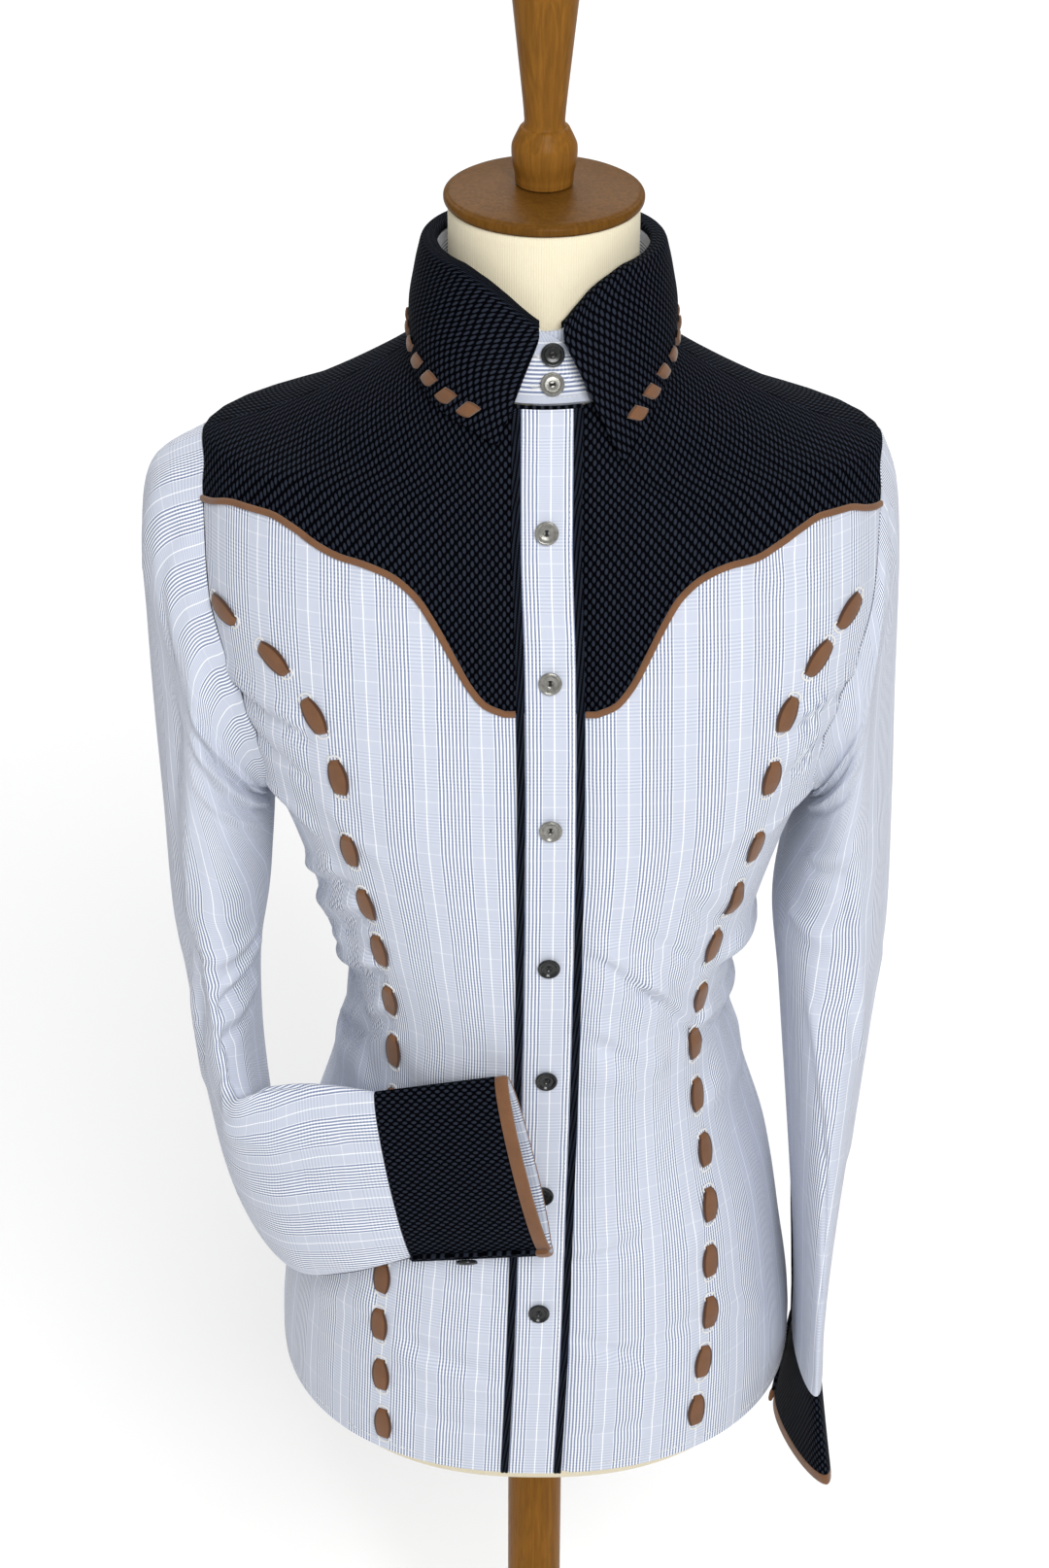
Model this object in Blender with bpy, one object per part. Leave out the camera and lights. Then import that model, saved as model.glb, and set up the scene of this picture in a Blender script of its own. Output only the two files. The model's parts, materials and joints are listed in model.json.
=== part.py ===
"""A fitted western shirt worn by a limbless dress form on a round stand.

Metres, +Z up. The form faces -Y, so +X is the wearer's left. The origin is on the
floor at the centre of the base. Heights are written as a drop below the neck's flat
top, and distances forward of the form's axis as "front".
"""

import math

import bmesh
import bpy
import numpy as np
from mathutils import Vector
from mathutils.bvhtree import BVHTree

# ---------------------------------------------------------------- driving dimensions
NECK_TOP = 1.170  # height of the neck's flat top above the floor
CLOTH = 0.0015  # wall of the shirt's panels
FORM_CLEARANCE = 0.0055  # from the panels' outer face in to the form
SEAM = 0.0003  # gap between pieces that are sewn together
HALF_SEAM = SEAM / 2

NECK_SEAM_FRONT, NECK_SEAM_SIDE, NECK_SEAM_BACK = 0.080, 0.071, 0.066
HEM_FRONT, HEM_SIDE, HEM_BACK = 0.736, 0.731, 0.736

ARMHOLE_TOP, ARMHOLE_BOTTOM = 0.129, 0.325
SLEEVE_SIDES = 16  # facets round a sleeve, and so points round an armhole
YOKE_SIDE_STEPS = 2  # the yoke seam meets the armhole this many points from its top

PLACKET_WIDTH = 0.0262
PLACKET_THICK = 0.0012
TRIM_WIDTH = 0.0045
TRIM_THICK = 0.0012
PIPING_RADIUS = 0.0016
PIPING_END = 0.0015  # how far its ends stop short of the armhole and the placket
BUTTON_RADIUS = 0.0061
BUTTON_THICK = 0.0024

LACE_WIDTH, COLLAR_LACE_WIDTH = 0.0095, 0.0075
LACE_THICK = 0.0010
LACE_STITCH, COLLAR_LACE_STITCH = 0.0225, 0.0092  # length of each stitch that shows
COLLAR_LACE_INSET = 0.0085  # in from the collar's outer edge
COLLAR_LACE_START, COLLAR_LACE_PITCH = 0.012, 0.0152  # from a tip, and stitch to stitch
LACE_LIFT = 0.0010  # of a lace above its panel, and below it
LACE_CLEARANCE = 0.0004  # round a lace, also where it goes through a slit

CUFF_LENGTH = 0.068
CUFF_THICK = 0.0022
BINDING_LENGTH = 0.0075
BINDING_THICK = 0.0030

CAP_RADIUS, CAP_THICK = 0.0512, 0.0045
POLE_RADIUS = 0.0170
BASE_RADIUS, BASE_THICK = 0.160, 0.026

# ---------------------------------------------------------------- tables of sections
# Level sections of the shirt's body, from the neck down. half is half the width, front
# and back are the depths from the axis, and the squareness is the section's exponent.
BODY_COLUMNS = ("drop", "half", "front", "back", "square_front", "square_back")
BODY_SECTIONS = (
    (0.000, 0.0560, 0.0560, 0.0560, 2.0, 2.0),
    (0.050, 0.0560, 0.0570, 0.0570, 2.0, 2.0),
    (0.070, 0.0600, 0.0640, 0.0610, 2.0, 2.0),
    (0.085, 0.0800, 0.0770, 0.0710, 1.9, 1.9),
    (0.100, 0.1070, 0.0860, 0.0790, 1.85, 1.9),
    (0.115, 0.1400, 0.0930, 0.0860, 1.85, 1.9),
    (0.129, 0.1790, 0.0975, 0.0910, 2.0, 2.0),
    (0.145, 0.1830, 0.1030, 0.0960, 2.4, 2.4),
    (0.196, 0.1840, 0.1150, 0.1070, 2.8, 2.7),
    (0.229, 0.1790, 0.1215, 0.1100, 2.8, 2.7),
    (0.277, 0.1660, 0.1275, 0.1090, 2.7, 2.6),
    (0.310, 0.1520, 0.1295, 0.1050, 2.6, 2.5),
    (0.340, 0.1405, 0.1300, 0.1000, 2.5, 2.4),
    (0.394, 0.1245, 0.1280, 0.0900, 2.4, 2.3),
    (0.448, 0.1120, 0.1225, 0.0790, 2.3, 2.2),
    (0.484, 0.1112, 0.1220, 0.0765, 2.3, 2.2),
    (0.531, 0.1205, 0.1245, 0.0820, 2.3, 2.2),
    (0.588, 0.1370, 0.1300, 0.0970, 2.3, 2.2),
    (0.648, 0.1470, 0.1350, 0.1100, 2.3, 2.2),
    (0.717, 0.1555, 0.1390, 0.1170, 2.3, 2.2),
    (0.790, 0.1530, 0.1415, 0.1180, 2.3, 2.2),
)
# The body's largest folds, the same on both sides: soft ridges, and troughs where the
# height is negative, from one angle and drop to another.
FOLD_COLUMNS = ("angle", "drop", "to_angle", "to_drop", "half_width", "height")
BODY_FOLDS = (
    (74.0, 0.314, 60.0, 0.300, 0.017, 0.0022),
    (88.0, 0.420, 62.0, 0.404, 0.020, 0.0032),
    (88.0, 0.464, 60.0, 0.452, 0.018, -0.0022),
    (88.0, 0.510, 63.0, 0.497, 0.020, 0.0028),
    (17.0, 0.462, 30.0, 0.470, 0.018, 0.0020),
    (140.0, 0.400, 172.0, 0.424, 0.024, 0.0034),
    (126.0, 0.446, 160.0, 0.466, 0.022, -0.0024),
    (132.0, 0.490, 170.0, 0.506, 0.024, 0.0030),
)
FOLD_END = 0.020  # length over which a fold dies away at its ends
METRES_PER_DEGREE = 0.0022  # round the body, for the folds' widths
# The form's own half width where its shoulder plates stand inside the armholes.
PLATE_COLUMNS = ("drop", "half")
PLATE_SECTIONS = (
    (0.070, 0.0545),
    (0.085, 0.0730),
    (0.100, 0.0980),
    (0.115, 0.1270),
    (0.132, 0.1580),
    (0.160, 0.1640),
    (0.200, 0.1580),
    (0.250, 0.1470),
    (0.300, 0.1370),
    (0.340, 0.1345),
)
# How the form's closed bottom draws in below the hem.
BOTTOM_COLUMNS = ("drop", "inset")
BOTTOM_SECTIONS = (
    (0.715, 0.0000),
    (0.735, 0.0020),
    (0.752, 0.0080),
    (0.764, 0.0220),
    (0.770, 0.0450),
)
# Where the placket's middle lies, across the front.
PLACKET_COLUMNS = ("drop", "x")
PLACKET_LINE = (
    (0.080, 0.0024),
    (0.138, 0.0026),
    (0.214, 0.0050),
    (0.300, 0.0059),
    (0.383, 0.0056),
    (0.462, 0.0048),
    (0.584, 0.0025),
    (0.652, 0.0010),
    (0.736, -0.0022),
)
PLACKET_BUTTONS = (0.137, 0.213, 0.295, 0.3815, 0.461, 0.539, 0.618)

# The front yoke's lower edge, by its distance out from the placket's middle. The last
# point is where it meets the armhole.
YOKE_FRONT_COLUMNS = ("from_placket", "drop")
YOKE_FRONT_EDGE = (
    (0.0236, 0.2300),
    (0.0330, 0.2260),
    (0.0415, 0.2160),
    (0.0500, 0.2000),
    (0.0580, 0.1845),
    (0.0670, 0.1705),
    (0.0790, 0.1610),
    (0.0910, 0.1566),
    (0.1050, 0.1542),
    (0.1170, 0.1500),
    (0.1280, 0.1445),
    (0.1420, 0.1408),
    (0.1580, 0.1410),
    (0.1780, 0.1477),
)
# The back yoke's lower edge, as shares of the way from the centre to the armhole.
YOKE_COLUMNS = ("share", "drop")
YOKE_BACK_EDGE = (
    (0.00, 0.2250),
    (0.12, 0.2150),
    (0.30, 0.1850),
    (0.50, 0.1720),
    (0.75, 0.1600),
    (1.00, 0.1477),
)

# The armhole's depth to the front and to the back, by degrees round from its top.
ARMHOLE_COLUMNS = ("degrees", "front", "back")
ARMHOLE_DEPTH = (
    (0.0, 0.0, 0.0),
    (22.5, 0.029, 0.023),
    (45.0, 0.044, 0.036),
    (67.5, 0.057, 0.042),
    (90.0, 0.069, 0.046),
    (112.5, 0.076, 0.049),
    (135.0, 0.071, 0.045),
    (157.5, 0.043, 0.030),
    (180.0, 0.0, 0.0),
)

# The lace's line down each front: distance from the axis at each drop.
LACE_COLUMNS = ("drop", "x")
LACE_LINE = (
    (0.190, 0.1660),
    (0.212, 0.1400),
    (0.240, 0.1220),
    (0.277, 0.1130),
    (0.325, 0.1070),
    (0.357, 0.0980),
    (0.388, 0.0897),
    (0.426, 0.0850),
    (0.462, 0.0830),
    (0.498, 0.0862),
    (0.535, 0.0905),
    (0.606, 0.0945),
    (0.640, 0.0955),
    (0.676, 0.0935),
    (0.722, 0.0910),
)
LACE_SHIFT = 0.003  # both laces lie this far to the wearer's left
LACE_STITCHES, COLLAR_LACE_STITCHES = 16, 9

# Sleeve rings below the armhole. x is out from the axis, front and drop place the
# centre; thick is half across and wide half from front to back. The wide axis points
# along (wide_x, wide_front, wide_up), and out_up tips the outer edge up.
SLEEVE_COLUMNS = (
    "x", "front", "drop", "thick", "wide",
    "wide_x", "wide_front", "wide_up", "out_x", "out_front", "out_up",
)
LEFT_SLEEVE = (
    (0.1690, 0.002, 0.2600, 0.0826, 0.070, 0.0, 1.0, 0.0, 0.26, 0.0, 0.96),
    (0.1690, 0.002, 0.2975, 0.0620, 0.069, 0.0, 1.0, 0.0, 0.39, 0.0, 0.92),
    (0.1668, 0.004, 0.3525, 0.0425, 0.067, 0.0, 1.0, 0.0, 0.66, 0.0, 0.75),
    (0.1655, 0.009, 0.4250, 0.0315, 0.066, 0.0, 1.0, 0.0, 1.0, 0.0, 0.0),
    (0.1650, 0.020, 0.4850, 0.0250, 0.064, 0.02, 0.99, 0.10, 1.0, 0.0, 0.0),
    (0.1645, 0.030, 0.5450, 0.0185, 0.062, 0.04, 0.98, 0.18, 1.0, 0.0, 0.0),
    (0.1640, 0.040, 0.6100, 0.0120, 0.059, 0.04, 0.97, 0.22, 1.0, 0.0, 0.0),
    (0.1640, 0.047, 0.6700, 0.0075, 0.057, 0.03, 0.97, 0.22, 1.0, 0.0, 0.0),
    (0.1645, 0.052, 0.7180, 0.0070, 0.055, 0.03, 0.97, 0.22, 1.0, 0.0, 0.0),
)
RIGHT_SLEEVE = (
    (0.1800, 0.004, 0.2600, 0.0865, 0.069, 0.0, 1.0, 0.0, 0.38, 0.0, 0.92),
    (0.1810, 0.004, 0.3000, 0.0672, 0.068, 0.0, 1.0, 0.0, 0.48, 0.0, 0.88),
    (0.1804, 0.006, 0.3500, 0.0405, 0.067, 0.0, 1.0, 0.0, 0.72, 0.0, 0.69),
    (0.1805, 0.010, 0.4150, 0.0262, 0.066, 0.0, 1.0, 0.0, 1.0, 0.0, 0.0),
    (0.1795, 0.022, 0.4700, 0.0190, 0.064, 0.0, 0.95, 0.30, 1.0, 0.0, 0.0),
    (0.1715, 0.052, 0.5260, 0.0175, 0.067, 0.0, 0.75, 0.66, 1.0, 0.1, 0.0),
    (0.1570, 0.090, 0.5520, 0.0160, 0.072, 0.05, 0.30, 0.95, 0.75, 0.65, 0.0),
    (0.1290, 0.112, 0.5410, 0.0140, 0.066, 0.12, -0.05, 0.99, 0.25, 0.97, 0.0),
    (0.0800, 0.124, 0.5280, 0.0120, 0.0555, 0.18, -0.08, 0.98, 0.15, 0.99, 0.0),
)
SLEEVE_RINGS = 12
CUFF_OPENING = 12  # the point round the sleeve, at its back, where the cuff opens
SLIT_RINGS = 3  # rings along which the sleeve's slit and its placket run
ELBOW_RING = 7  # where the bent right sleeve's two lengths part
LEFT_HEAD, RIGHT_HEAD = 0.003, 0.012  # how far each sleeve's head stands out
# The sleeves' largest folds: soft troughs along them, by the turn round the sleeve from
# its outer edge towards its front, and by shares of the way down.
TROUGH_COLUMNS = ("turn", "to_turn", "start", "end", "spread", "depth")
LEFT_TROUGHS = (
    (58.0, 48.0, 0.10, 0.42, 30.0, 0.0042),
    (100.0, 84.0, 0.30, 0.66, 28.0, 0.0036),
    (300.0, 318.0, 0.22, 0.62, 30.0, 0.0040),
    (222.0, 236.0, 0.50, 0.84, 28.0, 0.0030),
)
RIGHT_TROUGHS = (
    (64.0, 46.0, 0.08, 0.38, 30.0, 0.0046),
    (40.0, 70.0, 0.36, 0.66, 28.0, 0.0050),
    (112.0, 96.0, 0.46, 0.80, 28.0, 0.0036),
    (306.0, 296.0, 0.20, 0.60, 30.0, 0.0044),
)
LEFT_CUFF_END = (0.1640, 0.060, 0.7830, 0.0105, 0.056, 0.20, 0.95, 0.24, 1.0, 0.0, 0.0)
RIGHT_CUFF_END = (0.0040, 0.146, 0.5020, 0.0125, 0.0575, 0.22, -0.10, 0.97, 0.15, 0.99, 0.0)

# The collar's outer edge on the shirt: angle round from the front, and drop.
FALL_COLUMNS = ("degrees", "drop")
FALL_EDGE_RIGHT = (
    (14.0, 0.0980),
    (25.0, 0.0925),
    (36.0, 0.0890),
    (55.0, 0.0825),
    (90.0, 0.0760),
    (135.0, 0.0790),
    (180.0, 0.0860),
)
FALL_EDGE_LEFT = (
    (21.0, 0.1060),
    (28.0, 0.0985),
    (38.0, 0.0905),
    (55.0, 0.0825),
    (90.0, 0.0760),
    (135.0, 0.0790),
    (180.0, 0.0860),
)

# The collar stand's top edge, and how far in its under layer lies at the front.
STAND_THICK = 0.0016
STAND_COLUMNS = ("degrees", "top", "in_share")
STAND_EDGE = (
    (-4.0, 0.0480, 1.0),
    (8.0, 0.0475, 1.0),
    (17.0, 0.0390, 1.0),
    (26.0, 0.0305, 1.0),
    (35.0, 0.0260, 0.0),
    (48.0, 0.0225, 0.0),
    (90.0, 0.0235, 0.0),
    (135.0, 0.0255, 0.0),
    (180.0, 0.0265, 0.0),
    (225.0, 0.0255, 0.0),
    (270.0, 0.0235, 0.0),
    (312.0, 0.0225, 0.0),
    (328.0, 0.0265, 0.0),
    (340.0, 0.0330, 0.0),
    (350.0, 0.0405, 0.0),
    (358.0, 0.0462, 0.0),
    (364.0, 0.0490, 0.0),
    (372.0, 0.0545, 0.0),
    (377.0, 0.0620, 0.0),
    (380.0, 0.0700, 0.0),
)
STAND_ROWS = (0.0, 0.55, 1.0)  # shares of the way down, where its rows lie
STAND_GAP = 0.0007  # above the neck seam
STAND_BUTTONS = (0.0585, 0.0722)
STAND_BUTTON_X = 0.0048

# The collar's rolled edge over the stand: radius and drop from the stand's top.
COLLAR_THICK = 0.0018
ROLL_COLUMNS = ("radius", "below_top")
COLLAR_ROLL = (
    (0.0545, -0.0008),
    (0.0548, -0.0045),
    (0.0618, -0.0050),
    (0.0645, 0.0025),
)
COLLAR_LIFT = 0.0042  # of its outer face at the edge, above the shoulder
LEAF_ROWS, LEAF_COLUMNS = 4, 24
LEAF_START, LEAF_END = 9.6, 358.0  # degrees where its front edges meet the roll

# Where the form's rings lie, and how much slimmer it is there than under the panels.
FORM_RING_COLUMNS = ("drop", "slimmer")
FORM_RINGS = (
    (0.000, 0.0), (0.050, 0.0), (0.063, 0.0010), (0.072, 0.0030), (0.080, 0.0030),
    (0.089, 0.0020), (0.100, 0.0010), (0.1115, 0.0), (0.123, 0.0), (0.137, 0.0),
    (0.160, 0.0), (0.195, 0.0), (0.235, 0.0), (0.275, 0.0), (0.315, 0.0), (0.360, 0.0),
    (0.410, 0.0), (0.465, 0.0), (0.520, 0.0), (0.590, 0.0), (0.655, 0.0), (0.715, 0.0),
    (0.735, 0.0), (0.752, 0.0), (0.764, 0.0), (0.770, 0.0),
)

# Turned wood: radius at each height above the neck's flat top, and above the floor.
CAP_PROFILE = ((0.0, -0.0), (0.0495, 0.0), (0.0512, 0.0012), (0.0512, 0.0042),
               (0.0470, 0.0062), (0.0300, 0.0085), (0.0, 0.0088))
FINIAL_PROFILE = (
    (0.0, 0.0092), (0.0135, 0.0092), (0.0148, 0.0115), (0.0150, 0.0150),
    (0.0165, 0.0220), (0.0166, 0.0300), (0.0128, 0.0385),
    (0.0103, 0.0430), (0.0140, 0.0800), (0.0175, 0.1130),
    (0.0180, 0.1200), (0.0145, 0.1275), (0.0, 0.1310),
)


# ---------------------------------------------------------------- small helpers
def column(table, names, name):
    """One named column of a table."""
    place = names.index(name)
    return [row[place] for row in table]


def read(table, names, key, name, value):
    """The named column where the key column reaches value, along a smooth curve."""
    keys = column(table, names, key)
    values = column(table, names, name)
    if value <= keys[0]:
        return values[0]
    if value >= keys[-1]:
        return values[-1]
    k = max(i for i in range(len(keys) - 1) if keys[i] <= value)
    span = keys[k + 1] - keys[k]
    t = (value - keys[k]) / span

    def slope(i):
        if i == 0 or i == len(keys) - 1:
            j = min(i, len(keys) - 2)
            return (values[j + 1] - values[j]) / (keys[j + 1] - keys[j])
        before = (values[i] - values[i - 1]) / (keys[i] - keys[i - 1])
        after = (values[i + 1] - values[i]) / (keys[i + 1] - keys[i])
        if before * after <= 0:
            return 0.0
        return 2 * before * after / (before + after)

    a, b = slope(k) * span, slope(k + 1) * span
    return (
        values[k] * (2 * t**3 - 3 * t**2 + 1) + a * (t**3 - 2 * t**2 + t)
        + values[k + 1] * (3 * t**2 - 2 * t**3) + b * (t**3 - t**2)
    )


def body(name, drop):
    return read(BODY_SECTIONS, BODY_COLUMNS, "drop", name, drop)


def signed_power(value, power):
    return math.copysign(abs(value) ** power, value)


def soft(distance, reach):
    """1 at no distance, dying away smoothly to 0 at the reach."""
    share = min(1.0, abs(distance) / reach)
    return (1 - share * share) ** 2


def fold_height(angle, drop):
    """How far the body's folds stand out here."""
    height = 0.0
    for row in BODY_FOLDS:
        fold = dict(zip(FOLD_COLUMNS, row))
        run_x = (fold["to_angle"] - fold["angle"]) * METRES_PER_DEGREE
        run_y = fold["to_drop"] - fold["drop"]
        x = (angle - fold["angle"]) * METRES_PER_DEGREE
        y = drop - fold["drop"]
        length = math.hypot(run_x, run_y)
        along = (x * run_x + y * run_y) / length
        aside = (x * run_y - y * run_x) / length
        past = max(0.0, -along, along - length)
        height += fold["height"] * soft(aside, fold["half_width"]) * soft(past, FOLD_END)
    return height


def body_point(angle, drop):
    """A point on the shirt's body. The angle is 0 at the front and 90 at the left side."""
    out = fold_height(abs(angle), drop)
    a = math.radians(angle)
    facing = "front" if math.cos(a) >= 0 else "back"
    power = 2 / body("square_" + facing, drop)
    x = (body("half", drop) + out) * signed_power(math.sin(a), power)
    y = -(body(facing, drop) + out) * signed_power(math.cos(a), power)
    return Vector((x, y, NECK_TOP - drop))


def angle_at_depth(front, drop):
    """The angle whose point lies this far in front of the axis, on the left side."""
    facing = "front" if front >= 0 else "back"
    share = min(1.0, abs(front) / body(facing, drop))
    turn = math.degrees(math.acos(share ** (body("square_" + facing, drop) / 2)))
    return turn if front >= 0 else 180 - turn


def angle_at_x(x, drop):
    """The angle whose point on the front lies this far to the left of the axis."""
    share = min(1.0, abs(x) / body("half", drop))
    turn = math.degrees(math.asin(share ** (body("square_front", drop) / 2)))
    return math.copysign(turn, x)


def armhole():
    """(angle, drop) round the left armhole, from its top down the front and back up."""
    middle = (ARMHOLE_TOP + ARMHOLE_BOTTOM) / 2
    reach = (ARMHOLE_BOTTOM - ARMHOLE_TOP) / 2
    points = []
    for k in range(SLEEVE_SIDES):
        turn = 360 * k / SLEEVE_SIDES
        drop = middle - reach * math.cos(math.radians(turn))
        facing, sign = ("front", 1) if turn <= 180 else ("back", -1)
        deep = read(ARMHOLE_DEPTH, ARMHOLE_COLUMNS, "degrees", facing, min(turn, 360 - turn))
        points.append((angle_at_depth(sign * deep, drop) if deep else 90.0, drop))
    return points


def patch(top, bottom, inner, outer, shares):
    """A grid of (angle, drop) filled between four edges that share their corners."""
    rows = len(inner) - 1
    grid = []
    for i in range(rows + 1):
        v = i / rows
        line = []
        for j, u in enumerate(shares):
            pair = []
            for c in (0, 1):
                corners = (
                    (1 - u) * (1 - v) * top[0][c] + u * (1 - v) * top[-1][c]
                    + (1 - u) * v * bottom[0][c] + u * v * bottom[-1][c]
                )
                pair.append(
                    (1 - v) * top[j][c] + v * bottom[j][c]
                    + (1 - u) * inner[i][c] + u * outer[i][c] - corners
                )
            line.append(tuple(pair))
        grid.append(line)
    return grid


def trim(points, top=0.0, bottom=0.0, inner=0.0, outer=0.0):
    """Draw a grid's edges in towards its middle by these lengths."""
    def pull(a, b, length):
        return a + (b - a).normalized() * length

    if top:
        points[0] = [pull(a, b, top) for a, b in zip(points[0], points[1])]
    if bottom:
        points[-1] = [pull(a, b, bottom) for a, b in zip(points[-1], points[-2])]
    for row in points:
        if inner:
            row[0] = pull(row[0], row[1], inner)
        if outer:
            row[-1] = pull(row[-1], row[-2], outer)
    return points


def grid_normals(points, closed=False):
    """Unit normals of a grid, along (step down) x (step across)."""
    rows, columns = len(points), len(points[0])
    normals = []
    for i in range(rows):
        line = []
        for j in range(columns):
            up, down = points[max(i - 1, 0)][j], points[min(i + 1, rows - 1)][j]
            if closed:
                left, right = points[i][j - 1], points[i][(j + 1) % columns]
            else:
                left, right = points[i][max(j - 1, 0)], points[i][min(j + 1, columns - 1)]
            line.append((down - up).cross(right - left).normalized())
        normals.append(line)
    return normals


# ---------------------------------------------------------------- materials and solids
def material(name, colour, roughness, metallic=0.0):
    made = bpy.data.materials.new(name)
    made.use_nodes = True
    shader = made.node_tree.nodes["Principled BSDF"]
    shader.inputs["Base Color"].default_value = (*colour, 1.0)
    shader.inputs["Roughness"].default_value = roughness
    shader.inputs["Metallic"].default_value = metallic
    made.diffuse_color = (*colour, 1.0)
    return made


def add_object(name, mesh_points, faces, surface, smooth=False):
    mesh = bpy.data.meshes.new(name)
    mesh.from_pydata([tuple(p) for p in mesh_points], [], faces)
    mesh.materials.append(surface)
    mesh.validate()
    shaped = bmesh.new()
    shaped.from_mesh(mesh)
    bmesh.ops.recalc_face_normals(shaped, faces=shaped.faces)
    if shaped.calc_volume(signed=True) < 0:
        bmesh.ops.reverse_faces(shaped, faces=shaped.faces)
    shaped.to_mesh(mesh)
    shaped.free()
    for face in mesh.polygons:
        face.use_smooth = smooth
    made = bpy.data.objects.new(name, mesh)
    bpy.context.scene.collection.objects.link(made)
    return made


def wall(name, outside, inside, surface, closed=False):
    """A closed solid between two grids of points that match.

    Both faces are cut into triangles along the same diagonal, so that walls laid on one
    another keep their distance.
    """
    rows, columns = len(outside), len(outside[0])
    points = [p for row in outside for p in row] + [p for row in inside for p in row]
    half = rows * columns

    def at(i, j, layer):
        return layer * half + i * columns + j % columns

    steps = columns if closed else columns - 1
    faces = []
    for i in range(rows - 1):
        for j in range(steps):
            for half_cell in (((i, j), (i + 1, j), (i + 1, j + 1)),
                              ((i, j), (i + 1, j + 1), (i, j + 1))):
                faces.append([at(a, b, 0) for a, b in half_cell])
                faces.append([at(a, b, 1) for a, b in reversed(half_cell)])
    for j in range(steps):
        faces.append([at(0, j, 0), at(0, j + 1, 0), at(0, j + 1, 1), at(0, j, 1)])
        faces.append([at(rows - 1, j, 1), at(rows - 1, j + 1, 1),
                      at(rows - 1, j + 1, 0), at(rows - 1, j, 0)])
    if not closed:
        for i in range(rows - 1):
            faces.append([at(i, 0, 1), at(i + 1, 0, 1), at(i + 1, 0, 0), at(i, 0, 0)])
            last = columns - 1
            faces.append([at(i, last, 0), at(i + 1, last, 0),
                          at(i + 1, last, 1), at(i, last, 1)])
    return add_object(name, points, faces, surface)


def cloth(name, points, surface, thickness=CLOTH, closed=False, normals=None):
    """A panel of cloth whose outer face is the grid, with its wall inside it."""
    normals = normals or grid_normals(points, closed)
    inside = [
        [p - n * thickness for p, n in zip(row, line)]
        for row, line in zip(points, normals)
    ]
    return wall(name, points, inside, surface, closed)


def turned(name, profile, surface, base, sides=40):
    """A solid turned about an upright axis. Both ends of its profile lie on the axis."""
    points, rings = [], []
    for radius, height in profile:
        if radius == 0:
            rings.append([len(points)])
            points.append(Vector((0, 0, base + height)))
            continue
        rings.append(list(range(len(points), len(points) + sides)))
        for k in range(sides):
            a = 2 * math.pi * k / sides
            points.append(Vector((radius * math.cos(a), radius * math.sin(a), base + height)))
    faces = []
    for low, high in zip(rings, rings[1:]):
        for k in range(sides):
            a, b = k, (k + 1) % sides
            if len(low) == 1:
                faces.append([low[0], high[b], high[a]])
            elif len(high) == 1:
                faces.append([low[a], low[b], high[0]])
            else:
                faces.append([low[a], low[b], high[b], high[a]])
    return add_object(name, points, faces, surface, smooth=True)


class Skin:
    """The outer faces of some grids, on which other pieces are laid."""

    def __init__(self, *grids, closed=False):
        points, faces = [], []
        for grid in grids:
            start, columns = len(points), len(grid[0])
            points += [p for row in grid for p in row]
            for i in range(len(grid) - 1):
                for j in range(columns if closed else columns - 1):
                    a, b = start + i * columns + j, start + i * columns + (j + 1) % columns
                    faces += [(a, a + columns, b + columns), (a, b + columns, b)]
        self.tree = BVHTree.FromPolygons([tuple(p) for p in points], faces)

    def lay(self, point, outward):
        """The point straight in from here on the skin, or the nearest one."""
        start = point + outward * 0.03
        hit = self.tree.ray_cast(start, -outward, 0.08)[0]
        return hit if hit is not None else self.tree.find_nearest(point)[0]


def strip(name, middles, across, outs, width, thickness, lift, skin, surface, steps):
    """A flat strip laid on a skin, along its middle points."""
    outside, inside = [], []
    for middle, out in zip(middles, outs):
        top, under = [], []
        for k in range(steps + 1):
            p = skin.lay(middle + across * width * (k / steps - 0.5), out)
            top.append(p + out * (lift + thickness))
            under.append(p + out * lift)
        outside.append(top)
        inside.append(under)
    return wall(name, outside, inside, surface)


# ---------------------------------------------------------------- the shirt's body
LAYER = 0.0004  # between one layer of cloth and the next
PLACKET_FLAP = PLACKET_WIDTH / 2 + TRIM_WIDTH  # from the placket's middle to its trim's edge
UNDERLAP = 0.010  # how far the left front runs on past the placket's middle
FLAP_STEP = 0.006  # width over which the left front steps in behind the right
BACK_COLUMNS = 7
RIDGE_ROWS, SKIRT_ROWS = 4, 9
LEVEL_FRONT = 24  # degrees each side of the front where the neck seam is level


def neck_seam(angle):
    """Drop of the neck seam. It is level across the placket's overlap."""
    turn = abs((angle + 180) % 360 - 180)
    if turn < 90:
        turn = 90 * max(0.0, turn - LEVEL_FRONT) / (90 - LEVEL_FRONT)
    share = math.cos(math.radians(turn))
    ends = NECK_SEAM_FRONT if share >= 0 else NECK_SEAM_BACK
    return NECK_SEAM_SIDE + (ends - NECK_SEAM_SIDE) * share**2


def hem(angle):
    turn = math.cos(math.radians(angle))
    ends = HEM_FRONT if turn >= 0 else HEM_BACK
    return HEM_SIDE + (ends - HEM_SIDE) * turn**2


def placket_x(drop):
    return read(PLACKET_LINE, PLACKET_COLUMNS, "drop", "x", drop)


def even(start, end, count):
    return [start + (end - start) * k / count for k in range(count + 1)]


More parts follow.
